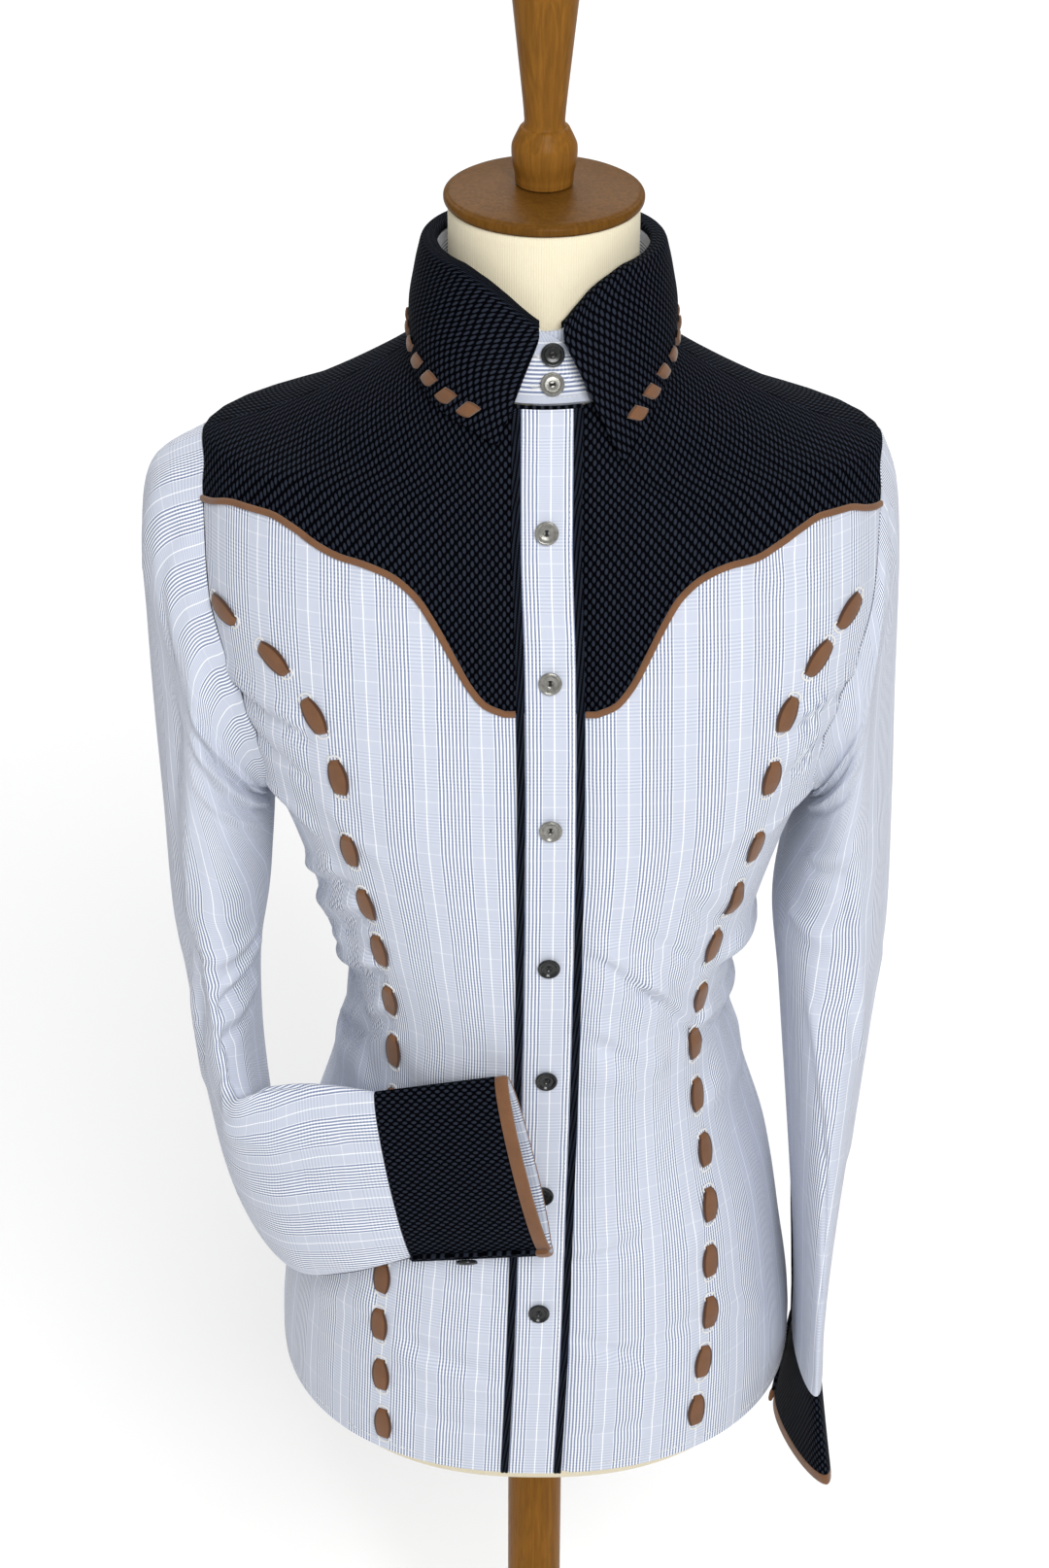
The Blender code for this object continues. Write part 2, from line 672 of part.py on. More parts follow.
def front_patches(side):
    """The yoke's and the lower front's grids of (angle, drop), centre out to the side."""
    loop = armhole()
    start = YOKE_FRONT_EDGE[0][0]

    def inner(drop):
        return (angle_at_x(side * placket_x(drop) + start, drop), drop)

    seam = []
    for from_placket, drop in YOKE_FRONT_EDGE[:-1]:
        seam.append((angle_at_x(side * placket_x(drop) + from_placket, drop), drop))
    seam.append(loop[YOKE_SIDE_STEPS])
    shares = [(a - seam[0][0]) / (seam[-1][0] - seam[0][0]) for a, _ in seam]

    first = inner(NECK_SEAM_FRONT)[0]
    top = [first + (90 - first) * u for u in shares]
    top = [(a, neck_seam(a)) for a in top]
    ridge = [(90.0, d) for d in even(neck_seam(90), ARMHOLE_TOP, RIDGE_ROWS)]
    side_edge = ridge + loop[1:YOKE_SIDE_STEPS + 1]
    centre_edge = [inner(d) for d in even(top[0][1], seam[0][1], len(side_edge) - 1)]
    yoke = patch(top, seam, centre_edge, side_edge, shares)

    arm = loop[YOKE_SIDE_STEPS:SLEEVE_SIDES // 2 + 1]
    seam_side = [(90.0, d) for d in even(ARMHOLE_BOTTOM, HEM_SIDE, SKIRT_ROWS)]
    side_edge = arm + seam_side[1:]
    first = inner(HEM_FRONT)[0]
    bottom = [first + (90 - first) * u for u in shares]
    bottom = [(a, hem(a)) for a in bottom]
    centre_edge = [inner(d) for d in even(seam[0][1], bottom[0][1], len(side_edge) - 1)]
    front = patch(seam, bottom, centre_edge, side_edge, shares)
    return yoke, front


def flap_columns(side):
    """Where the columns under the placket lie from its middle, and how far in."""
    if side > 0:
        under = -(CLOTH + LAYER)
        return ((-UNDERLAP, under), (0.004, under), (PLACKET_FLAP + 0.001, under))
    return ((-PLACKET_FLAP, 0.0), (-0.004, 0.0), (0.010, 0.0))


def mirrored(p):
    return Vector((-p.x, p.y, p.z))


def panel_points(grid, side):
    """Points and normals of a front panel, with the columns that lie under the placket."""
    points, normals = [], []
    for row in grid:
        drop = row[0][1]
        line, facing = [], []
        for x, out in flap_columns(side):
            angle = angle_at_x(side * placket_x(drop) + x, drop)
            facing.append(body_normal(angle, drop))
            line.append(body_point(angle, drop) + facing[-1] * out)
        line += [body_point(a, d) for a, d in row]
        facing += [body_normal(a, d) for a, d in row]
        if side < 0:
            line = [mirrored(p) for p in reversed(line)]
            facing = [mirrored(n) for n in reversed(facing)]
        points.append(line)
        normals.append(facing)
    return points, normals


def back_patches():
    """The back yoke's and the back's grids of (angle, drop), centre out to the side."""
    loop = armhole()
    columns = even(0, 1, BACK_COLUMNS)
    centre = YOKE_BACK_EDGE[0][1]
    junction = loop[-YOKE_SIDE_STEPS]
    seam = []
    for u in columns:
        drop = read(YOKE_BACK_EDGE, YOKE_COLUMNS, "share", "drop", u)
        seam.append((180 + (junction[0] - 180) * u, drop))
    top = [(180 - 90 * u, neck_seam(180 - 90 * u)) for u in columns]
    ridge = [(90.0, d) for d in even(neck_seam(90), ARMHOLE_TOP, RIDGE_ROWS)]
    side_edge = ridge + [loop[-k] for k in range(1, YOKE_SIDE_STEPS + 1)]
    centre_edge = [(180.0, d) for d in even(NECK_SEAM_BACK, centre, len(side_edge) - 1)]
    yoke = patch(top, seam, centre_edge, side_edge, columns)

    arm = [loop[-k] for k in range(YOKE_SIDE_STEPS, SLEEVE_SIDES // 2 + 1)]
    side_edge = arm + [(90.0, d) for d in even(ARMHOLE_BOTTOM, HEM_SIDE, SKIRT_ROWS)][1:]
    bottom = [(180 - 90 * u, hem(180 - 90 * u)) for u in columns]
    centre_edge = [(180.0, d) for d in even(centre, HEM_BACK, len(side_edge) - 1)]
    back = patch(seam, bottom, centre_edge, side_edge, columns)
    return yoke, back


def back_points(grid):
    """Points and normals of a back panel, from the left side across to the right."""
    points, normals = [], []
    for row in grid:
        left = [body_point(a, d) for a, d in reversed(row)]
        facing = [body_normal(a, d) for a, d in reversed(row)]
        points.append(left + [mirrored(p) for p in reversed(left[:-1])])
        normals.append(facing + [mirrored(n) for n in reversed(facing[:-1])])
    return points, normals


def body_normal(angle, drop):
    step_angle, step_drop = 0.5, 0.002
    across = body_point(angle + step_angle, drop) - body_point(angle - step_angle, drop)
    down = body_point(angle, drop + step_drop) - body_point(angle, drop - step_drop)
    return down.cross(across).normalized()


# ---------------------------------------------------------------- sleeves and cuffs
def between(rows, t):
    """A row blended between the rows of a table, t counting rows from 0."""
    k = min(int(t), len(rows) - 2)
    f = t - k
    a, b = rows[k], rows[k + 1]
    before = rows[max(k - 1, 0)]
    after = rows[min(k + 2, len(rows) - 1)]
    return [
        0.5 * (2 * q + (r - p) * f + (2 * p - 5 * q + 4 * r - z) * f**2
               + (3 * q - p - 3 * r + z) * f**3)
        for p, q, r, z in zip(before, a, b, after)
    ]


def section_ring(row, side, grow=0.0):
    """A sleeve's ring from a row of its table, mirrored for the right arm."""
    value = dict(zip(SLEEVE_COLUMNS, row))
    middle = Vector((value["x"], -value["front"], NECK_TOP - value["drop"]))
    wide = Vector((value["wide_x"], -value["wide_front"], value["wide_up"])).normalized()
    out = Vector((value["out_x"], -value["out_front"], value["out_up"]))
    out = (out - wide * out.dot(wide)).normalized()
    ring = []
    for k in range(SLEEVE_SIDES):
        t = 2 * math.pi * k / SLEEVE_SIDES
        p = middle + out * (value["thick"] + grow) * math.cos(t)
        p += wide * (value["wide"] + grow) * math.sin(t)
        ring.append(Vector((side * p.x, p.y, p.z)))
    return ring


def trough_depth(troughs, turn, share):
    """How far a sleeve's folds draw in, by the turn round it and the share down it."""
    depth = 0.0
    for row in troughs:
        fold = dict(zip(TROUGH_COLUMNS, row))
        along = (share - fold["start"]) / (fold["end"] - fold["start"])
        if 0 < along < 1:
            middle = fold["turn"] + (fold["to_turn"] - fold["turn"]) * along
            aside = (turn - middle + 180) % 360 - 180
            depth += fold["depth"] * soft(aside, fold["spread"]) * soft(2 * along - 1, 1.0)
    return depth


def sleeve_rings(table, side, head, troughs):
    """Rings from the armhole, over the sleeve's head, down to the end of the sleeve."""
    seam, crown = [], []
    first = section_ring(table[0], side)
    for k, (angle, drop) in enumerate(armhole()):
        p = body_point(angle, drop)
        seam.append(Vector((side * (p.x + 2 * SEAM), p.y, p.z)))
        up = max(0.0, math.cos(2 * math.pi * k / SLEEVE_SIDES))
        rise = Vector((side * head * up, 0, head * up * 0.4))
        crown.append(seam[-1].lerp(first[k], 0.45) + rise)
    rings = [seam, crown]
    for k in range(SLEEVE_RINGS):
        rings.append(section_ring(between(table, k * (len(table) - 1) / (SLEEVE_RINGS - 1)), side))
    for i, ring in enumerate(rings[1:-1], 1):
        middle = sum(ring, Vector()) / len(ring)
        for k, p in enumerate(ring):
            depth = trough_depth(troughs, 360 * k / SLEEVE_SIDES, i / (len(rings) - 1))
            ring[k] = p + (middle - p).normalized() * depth
    return rings


def in_order(rings, side):
    """Rings turned so that their outer face follows the step across."""
    if side > 0:
        return [list(reversed(ring)) for ring in rings]
    return rings


def lapped(rings, start, thickness, laps=1):
    """Open rings that start at one side and lap over their own start."""
    count = len(rings[0])
    result = []
    for k, ring in enumerate(rings):
        above, below = rings[max(k - 1, 0)], rings[min(k + 1, len(rings) - 1)]
        line = []
        for j in range(count + laps + 1):
            i = (start + j) % count
            p = ring[i]
            if j >= count:
                n = (below[i] - above[i]).cross(ring[(i + 1) % count] - ring[i - 1]).normalized()
                p = p + n * (thickness + LAYER)
            line.append(p)
        result.append(line)
    return result


def cuff_rings(table, end, side, shares):
    """Rings along a cuff, at shares of the way from the sleeve to the cuff's end."""
    last = table[-1]
    rows = [[a + (b - a) * t for a, b in zip(last, end)] for t in shares]
    return [section_ring(row, side) for row in rows]


# ---------------------------------------------------------------- the collar
def around_neck(degrees, radius, drop):
    a = math.radians(degrees)
    return Vector((radius * math.sin(a), -radius * math.cos(a), NECK_TOP - drop))


def leaf_angles():
    return even(LEAF_START, LEAF_END, LEAF_COLUMNS)


def stand_top(degrees):
    return read(STAND_EDGE, STAND_COLUMNS, "degrees", "top", degrees)


def stand_points():
    """Points and normals of the stand's rows, from its top edge to the neck seam."""
    under = [row[0] for row in STAND_EDGE if row[0] < LEAF_START]
    tab = [row[0] for row in STAND_EDGE if row[0] > LEAF_END]
    rows = [[] for _ in STAND_ROWS]
    facings = [[] for _ in STAND_ROWS]
    for degrees in under + leaf_angles() + tab:
        top = stand_top(degrees)
        seam = neck_seam(degrees) - STAND_GAP
        in_share = read(STAND_EDGE, STAND_COLUMNS, "degrees", "in_share", degrees)
        for share, row, facing in zip(STAND_ROWS, rows, facings):
            drop = top + (seam - top) * share
            n = body_normal(degrees, drop)
            row.append(body_point(degrees, drop) - n * in_share * (STAND_THICK + LAYER))
            facing.append(n)
    return rows, facings


def fall_edge(share):
    """The collar's outer edge: (angle, drop) at a share of the way round."""
    start, end = FALL_EDGE_LEFT[0][0], 360 - FALL_EDGE_RIGHT[0][0]
    angle = start + (end - start) * share
    if angle <= 180:
        return angle, read(FALL_EDGE_LEFT, FALL_COLUMNS, "degrees", "drop", angle)
    return angle, read(FALL_EDGE_RIGHT, FALL_COLUMNS, "degrees", "drop", 360 - angle)


def collar_points():
    """The collar from the stand's top, over its roll and down to its outer edge."""
    rows = [[] for _ in range(len(COLLAR_ROLL) + LEAF_ROWS)]
    for j, around in enumerate(leaf_angles()):
        share = j / LEAF_COLUMNS
        top = stand_top(around)
        for k, (radius, below) in enumerate(COLLAR_ROLL):
            rows[k].append(around_neck(around, radius, top + below))
        angle, drop = fall_edge(share)
        edge = body_point(angle, drop) + body_normal(angle, drop) * COLLAR_LIFT
        start = rows[len(COLLAR_ROLL) - 1][-1]
        outward = Vector((start.x, start.y, 0)).normalized()
        for k in range(1, LEAF_ROWS + 1):
            f = k / LEAF_ROWS
            bulge = outward * 0.0022 * math.sin(math.pi * f)
            rows[len(COLLAR_ROLL) + k - 1].append(start.lerp(edge, f) + bulge)
    return rows


# ---------------------------------------------------------------- laces and their slits
LONG_STITCH = 0.015  # a stitch longer than this has a point in its middle


class Route:
    """A line laid on a skin, found by its length from the start."""

    def __init__(self, points, normals, skin):
        self.points = [skin.lay(p, n) for p, n in zip(points, normals)]
        self.normals = normals
        self.skin = skin
        self.lengths = [0.0]
        for a, b in zip(self.points, self.points[1:]):
            self.lengths.append(self.lengths[-1] + (b - a).length)
        self.length = self.lengths[-1]

    def part(self, start, end, spacing=0.004):
        """The stretch of the route between two lengths, as a route of its own."""
        count = max(2, round((end - start) / spacing))
        found = [self.at(s) for s in even(start, end, count)]
        return Route([f[0] for f in found], [f[2] for f in found], self.skin)

    def at(self, length):
        """The point on the skin, the direction along and the normal there."""
        k = int(np.searchsorted(self.lengths, length)) - 1
        k = min(max(k, 0), len(self.points) - 2)
        f = (length - self.lengths[k]) / (self.lengths[k + 1] - self.lengths[k])
        normal = self.normals[k].lerp(self.normals[k + 1], f).normalized()
        point = self.skin.lay(self.points[k].lerp(self.points[k + 1], f), normal)
        low, high = max(k - 1, 0), min(k + 2, len(self.points) - 1)
        along = self.points[high] - self.points[low]
        return point, (along - normal * along.dot(normal)).normalized(), normal


def lace_profile(length, stitch, count, thickness):
    """(length, height) corners of a lace that goes out and in through slits."""
    high = LACE_LIFT + LACE_THICK / 2
    low = -(thickness + LACE_LIFT + LACE_THICK / 2)
    tail = 0.004
    pitch = (length - stitch - 2 * tail) / (count - 1)
    corners, slits = [], []
    for k in range(count):
        begin = tail + k * pitch
        slits += [begin, begin + stitch]
        corners += [(begin, low), (begin, high)]
        if stitch > LONG_STITCH:
            corners.append((begin + stitch / 2, high))
        corners += [(begin + stitch, high), (begin + stitch, low)]
    corners = [(corners[0][0] - tail, low)] + corners + [(corners[-1][0] + tail, low)]
    return corners, slits


def lace(name, route, stitch, count, width, thickness, surface):
    """A flat lace woven through a panel, and the middles of its slits."""
    corners, slits = lace_profile(route.length, stitch, count, thickness)
    outside, inside = [], []
    for k, (s, h) in enumerate(corners):
        before = Vector(corners[max(k - 1, 0)])
        after = Vector(corners[min(k + 1, len(corners) - 1)])
        here = Vector((s, h))
        go_in = (here - before).normalized() if k else (after - here).normalized()
        go_out = (after - here).normalized() if k < len(corners) - 1 else go_in
        left_in, left_out = Vector((-go_in.y, go_in.x)), Vector((-go_out.y, go_out.x))
        mitre = (left_in + left_out).normalized()
        mitre = mitre * (LACE_THICK / 2 / mitre.dot(left_in))
        top, under = [], []
        for sign, row in ((1, top), (-1, under)):
            point, along, normal = route.at(s)
            across = along.cross(normal)
            offset = mitre * sign
            middle = point + along * offset.x + normal * (h + offset.y)
            row += [middle - across * width / 2, middle + across * width / 2]
        outside.append(top)
        inside.append(under)
    return wall(name, outside, inside, surface), slits


def cut_slits(panel, route, slits, width):
    """Cut the slits of a lace through a panel."""
    points, faces = [], []
    box = [(-1, -1, -1), (1, -1, -1), (1, 1, -1), (-1, 1, -1),
           (-1, -1, 1), (1, -1, 1), (1, 1, 1), (-1, 1, 1)]
    sides = [(0, 3, 2, 1), (4, 5, 6, 7), (0, 1, 5, 4), (1, 2, 6, 5), (2, 3, 7, 6), (3, 0, 4, 7)]
    for s in slits:
        point, along, normal = route.at(s)
        across = along.cross(normal)
        start = len(points)
        for a, b, c in box:
            points.append(point + along * a * (LACE_THICK / 2 + LACE_CLEARANCE)
                          + across * b * (width / 2 + LACE_CLEARANCE) + normal * c * 0.0035)
        faces += [[start + i for i in side] for side in sides]
    cutter = add_object("slit_cutter", points, faces, panel.data.materials[0])

    shape = bmesh.new()
    shape.from_mesh(panel.data)
    bmesh.ops.triangulate(shape, faces=shape.faces)
    shape.to_mesh(panel.data)
    shape.free()

    cut = panel.modifiers.new("slits", "BOOLEAN")
    cut.operation, cut.solver, cut.object = "DIFFERENCE", "EXACT", cutter
    graph = bpy.context.evaluated_depsgraph_get()
    made = bpy.data.meshes.new_from_object(panel.evaluated_get(graph))
    panel.modifiers.remove(cut)
    made.name = panel.name
    panel.data = made
    bpy.data.objects.remove(cutter)


# ---------------------------------------------------------------- buttons and trims
def button(name, place, outward, surface, sides=10):
    """A round button with a raised rim and a dished middle, facing outward."""
    r, t = BUTTON_RADIUS, BUTTON_THICK
    profile = ((0.0, 0.0), (r * 0.92, 0.0), (r, t * 0.6), (r * 0.82, t), (0.0, t * 0.7))
    made = turned(name, profile, surface, 0.0, sides)
    made.location = place
    made.rotation_euler = outward.to_track_quat("Z", "Y").to_euler()
    return made


def piping(name, seam, surface, sides=6):
    """A round piping laid on a seam, through its (point, normal) pairs."""
    rings = []
    for k, (point, normal) in enumerate(seam):
        before, after = seam[max(k - 1, 0)][0], seam[min(k + 1, len(seam) - 1)][0]
        across = (after - before).normalized().cross(normal).normalized()
        middle = point + normal * (LAYER + PIPING_RADIUS)
        if k in (0, len(seam) - 1):
            inward = (after - before).normalized() * (1 if k == 0 else -1)
            middle = middle + inward * PIPING_END
        ring = []
        for j in range(sides):
            turn = 2 * math.pi * (j + 0.5) / sides
            ring.append(middle + across * PIPING_RADIUS * math.cos(turn)
                        + normal * PIPING_RADIUS * math.sin(turn))
        rings.append(ring)
    points = [p for ring in rings for p in ring]
    faces = []
    for i in range(len(rings) - 1):
        for j in range(sides):
            a, b = i * sides + j, i * sides + (j + 1) % sides
            faces.append([a, b, b + sides, a + sides])
    faces.append(list(range(sides))[::-1])
    faces.append([(len(rings) - 1) * sides + j for j in range(sides)])
    return add_object(name, points, faces, surface)


# ---------------------------------------------------------------- the form
def form_torso(surface):
    """The form from under the neck cap to its closed bottom, as rings of a lathe."""
    drops = column(FORM_RINGS, FORM_RING_COLUMNS, "drop")
    sides = 24
    points, faces = [], []
    for drop, slimmer in FORM_RINGS:
        clear = FORM_CLEARANCE + CLOTH + slimmer
        half = body("half", drop) - clear
        if PLATE_SECTIONS[0][0] <= drop < PLATE_SECTIONS[-1][0]:
            half = min(half, read(PLATE_SECTIONS, PLATE_COLUMNS, "drop", "half", drop))
        inset = read(BOTTOM_SECTIONS, BOTTOM_COLUMNS, "drop", "inset", drop)
        for k in range(sides):
            a = 2 * math.pi * k / sides
            facing = "front" if math.cos(a) >= 0 else "back"
            power = 2 / body("square_" + facing, drop)
            deep = body(facing, drop) - clear - inset
            points.append(Vector((
                (half - inset) * signed_power(math.sin(a), power),
                -deep * signed_power(math.cos(a), power),
                NECK_TOP - drop,
            )))
    for i in range(len(drops) - 1):
        for k in range(sides):
            a, b = i * sides + k, i * sides + (k + 1) % sides
            faces.append([a, a + sides, b + sides, b])
    faces.append(list(range(sides)))
    faces.append([(len(drops) - 1) * sides + k for k in range(sides)][::-1])
    return add_object("form_torso", points, faces, surface, smooth=True)


# ---------------------------------------------------------------- build
def build():
    for old in list(bpy.data.objects):
        bpy.data.objects.remove(old)

    dobby = material("black_dobby", (0.012, 0.014, 0.020), 0.85)
    plaid = material("plaid_cotton", (0.62, 0.66, 0.76), 0.80)
    suede = material("brown_suede", (0.30, 0.155, 0.070), 0.90)
    shell = material("smoky_shell", (0.16, 0.16, 0.15), 0.25)
    linen = material("cream_linen", (0.80, 0.74, 0.56), 0.90)
    wood = material("dark_wood", (0.23, 0.095, 0.045), 0.38)

    # The form and its stand.
    form_torso(linen)
    turned("form_neck_cap", CAP_PROFILE, wood, NECK_TOP + SEAM, 32)
    turned("form_finial", FINIAL_PROFILE, wood, NECK_TOP + SEAM, 16)
    pole_top = NECK_TOP - BOTTOM_SECTIONS[-1][0] - SEAM
    turned("form_pole", ((0.0, 0.0), (POLE_RADIUS, 0.0), (POLE_RADIUS, pole_top - BASE_THICK),
                         (0.0, pole_top - BASE_THICK)), wood, BASE_THICK, 24)
    turned("form_base", ((0.0, 0.0), (BASE_RADIUS, 0.0), (BASE_RADIUS, 0.010),
                         (BASE_RADIUS - 0.006, 0.018), (0.040, BASE_THICK - SEAM),
                         (0.0, BASE_THICK - SEAM)), wood, 0.0, 32)

    # Panels.
    skins = {}
    fronts = {}
    for side, word in ((1, "left"), (-1, "right")):
        yoke_rows, front_rows = front_patches(side)
        yoke_points, yoke_normals = panel_points(yoke_rows, side)
        front_points, front_normals = panel_points(front_rows, side)
        seam = list(zip(yoke_points[-1], yoke_normals[-1]))
        seam = seam[3:] if side > 0 else seam[:-3]
        trim(yoke_points, top=HALF_SEAM, bottom=HALF_SEAM)
        trim(front_points, top=HALF_SEAM)
        for points in (yoke_points, front_points):
            for i, row in enumerate(points):
                on_ridge = points is yoke_points and i <= RIDGE_ROWS
                on_side = points is front_points and i >= SLEEVE_SIDES // 2 - YOKE_SIDE_STEPS
                if on_ridge or on_side:
                    a, b = (-1, -2) if side > 0 else (0, 1)
                    row[a] = row[a] + (row[b] - row[a]).normalized() * HALF_SEAM
        cloth("yoke_front_" + word, yoke_points, dobby, normals=yoke_normals)
        fronts[word] = cloth("front_" + word, front_points, plaid, normals=front_normals)
        skins[word] = Skin(yoke_points, front_points)
        piping("yoke_piping_front_" + word, seam, suede)
        skins["front_" + word] = Skin(front_points)

    yoke, back = back_patches()
    yoke_points, yoke_normals = back_points(yoke)
    lower_points, lower_normals = back_points(back)
    trim(yoke_points, top=HALF_SEAM, bottom=HALF_SEAM)
    trim(lower_points, top=HALF_SEAM)
    for points in (yoke_points, lower_points):
        for i, row in enumerate(points):
            on_ridge = points is yoke_points and i <= RIDGE_ROWS
            on_side = points is lower_points and i >= SLEEVE_SIDES // 2 - YOKE_SIDE_STEPS
            if on_ridge or on_side:
                for a, b in ((0, 1), (-1, -2)):
                    row[a] = row[a] + (row[b] - row[a]).normalized() * HALF_SEAM
    cloth("yoke_back", yoke_points, dobby, normals=yoke_normals)
    piping("yoke_piping_back", list(zip(yoke_points[-1], yoke_normals[-1])), suede)
    cloth("back", lower_points, plaid, normals=lower_normals)
    skins["back"] = Skin(yoke_points, lower_points)

    # Collar, and the lace along its edge.
    stand, stand_normals = stand_points()
    cloth("collar_stand", stand, plaid, STAND_THICK, normals=stand_normals)
    leaf = collar_points()
    leaf_normals = grid_normals(leaf)
    collar = cloth("collar", leaf, dobby, COLLAR_THICK, normals=leaf_normals)
    edge, before = leaf[-1], leaf[-2]
    line = [a + (b - a).normalized() * COLLAR_LACE_INSET for a, b in zip(edge, before)]
    route = Route(line, leaf_normals[-1], Skin(leaf))
    reach = COLLAR_LACE_STITCHES * COLLAR_LACE_PITCH
    for word, begin in (("left", COLLAR_LACE_START),
                        ("right", route.length - COLLAR_LACE_START - reach)):
        part = route.part(begin, begin + reach)
        _, slits = lace("lace_collar_" + word, part, COLLAR_LACE_STITCH,
                        COLLAR_LACE_STITCHES, COLLAR_LACE_WIDTH, COLLAR_THICK, suede)
        cut_slits(collar, part, slits, COLLAR_LACE_WIDTH)

    # Sleeves, cuffs and their bindings.
    arms = ((1, "left", LEFT_SLEEVE, LEFT_CUFF_END, LEFT_HEAD, LEFT_TROUGHS),
            (-1, "right", RIGHT_SLEEVE, RIGHT_CUFF_END, RIGHT_HEAD, RIGHT_TROUGHS))
    for side, word, table, end, head, troughs in arms:
        rings = in_order(sleeve_rings(table, side, head, troughs), side)
        facing = grid_normals(rings, closed=True)
        facing[0] = [Vector((0, n.y, n.z)).normalized() for n in facing[0]]
        if side < 0:
            # the bent sleeve's wall is in two lengths, which part at the elbow
            upper = [list(ring) for ring in rings[:ELBOW_RING + 1]]
            lower = [list(ring) for ring in rings[ELBOW_RING:]]
            trim(upper, bottom=HALF_SEAM)
            trim(lower, top=HALF_SEAM)
            cloth("sleeve_right_upper", upper, plaid, closed=True,
                  normals=facing[:ELBOW_RING + 1])
            cloth("sleeve_right_lower", lower, plaid, closed=True,
                  normals=facing[ELBOW_RING:])
        else:
            cloth("sleeve_left", rings, plaid, closed=True, normals=facing)
        back = CUFF_OPENING if side < 0 else SLEEVE_SIDES - 1 - CUFF_OPENING
        turn = -1 if side < 0 else 1
        columns = [(back + turn * k) % SLEEVE_SIDES for k in range(3)]
        if turn < 0:
            columns.reverse()
        strip_rows = range(len(rings) - 1 - SLIT_RINGS, len(rings))
        low = [[rings[i][j] + facing[i][j] * LAYER for j in columns] for i in strip_rows]
        trim(low, bottom=SEAM)
        top = [[p + facing[i][j] * PLACKET_THICK for p, j in zip(row, columns)]
               for i, row in zip(strip_rows, low)]
        wall("sleeve_placket_" + word, top, low, dobby)

        length = (Vector(end[0:3]) - Vector(table[-1][0:3])).length
        gap, bound = 2 * SEAM / length, BINDING_LENGTH / length
        cuff = in_order(cuff_rings(table, end, side, (gap, 0.45, 1 - bound - gap)), side)
        cuff = lapped(cuff, back, CUFF_THICK)
        cloth("cuff_" + word, cuff, dobby, CUFF_THICK)
        edge = in_order(cuff_rings(table, end, side, (1 - bound, 1.0)), side)
        cloth("cuff_binding_" + word, lapped(edge, back, BINDING_THICK), suede, BINDING_THICK)
        n = grid_normals(cuff)[1][-1]
        p = cuff[1][-1].lerp(cuff[1][-2], 0.5)
        button("cuff_button_" + word, p + n * 2 * LAYER, n, shell)

    # Placket and its two trims, with a row on each row of the panels below them.
    rows = [row[0][1] for row in yoke_rows[:-1] + front_rows]
    drops = [rows[0] + 0.002] + rows[1:-1] + [rows[-1] - 0.001]
    normals = []
    for d in drops:
        x = placket_x(d)
        normals.append(body_normal(angle_at_x(x, d), d))
    across = Vector((1, 0, 0))
    middles = [body_point(angle_at_x(placket_x(d), d), d) for d in drops]
    strip("placket", middles, across, normals, PLACKET_WIDTH, PLACKET_THICK, LAYER,
          skins["right"], plaid, steps=4)
    for word, sign in (("right", -1), ("left", 1)):
        shift = across * sign * (PLACKET_WIDTH / 2 + SEAM + (TRIM_WIDTH - SEAM) / 2)
        strip("placket_trim_" + word, [m + shift for m in middles], across, normals,
              TRIM_WIDTH - SEAM, TRIM_THICK, LAYER, skins["right"], dobby, steps=1)
    for k, d in enumerate(PLACKET_BUTTONS):
        x = placket_x(d)
        n = body_normal(angle_at_x(x, d), d)
        p = skins["right"].lay(body_point(angle_at_x(x, d), d), n)
        button("button_%d" % (k + 1), p + n * (2 * LAYER + PLACKET_THICK), n, shell)
    for k, d in enumerate(STAND_BUTTONS):
        a = angle_at_x(STAND_BUTTON_X, d)
        n = body_normal(a, d)
        p = Skin(stand).lay(body_point(a, d), n)
        button("stand_button_%d" % (k + 1), p + n * 2 * LAYER, n, shell)

    # Laces.
    for side, word in ((1, "left"), (-1, "right")):
        points, normals = [], []
        for d in even(LACE_LINE[0][0], LACE_LINE[-1][0], 60):
            x = read(LACE_LINE, LACE_COLUMNS, "drop", "x", d) + side * LACE_SHIFT
            a = angle_at_x(x, d)
            p, n = body_point(a, d), body_normal(a, d)
            points.append(Vector((side * p.x, p.y, p.z)))
            normals.append(Vector((side * n.x, n.y, n.z)))
        route = Route(points, normals, skins["front_" + word])
        _, slits = lace("lace_front_" + word, route, LACE_STITCH, LACE_STITCHES, LACE_WIDTH,
                        CLOTH, suede)
        cut_slits(fronts[word], route, slits, LACE_WIDTH)


build()
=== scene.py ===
"""The looks of a western shirt worn by a limbless dress form on a round stand.

Metres, +Z up, in the frame of the solids: the form faces -Y, +X is the wearer's left
and the origin is on the floor at the centre of the base. Heights are written as a drop
below the neck's flat top. Angles go round from the front towards the wearer's left.
"""

import json
import math

import bpy
import numpy as np
from mathutils import Matrix, Vector

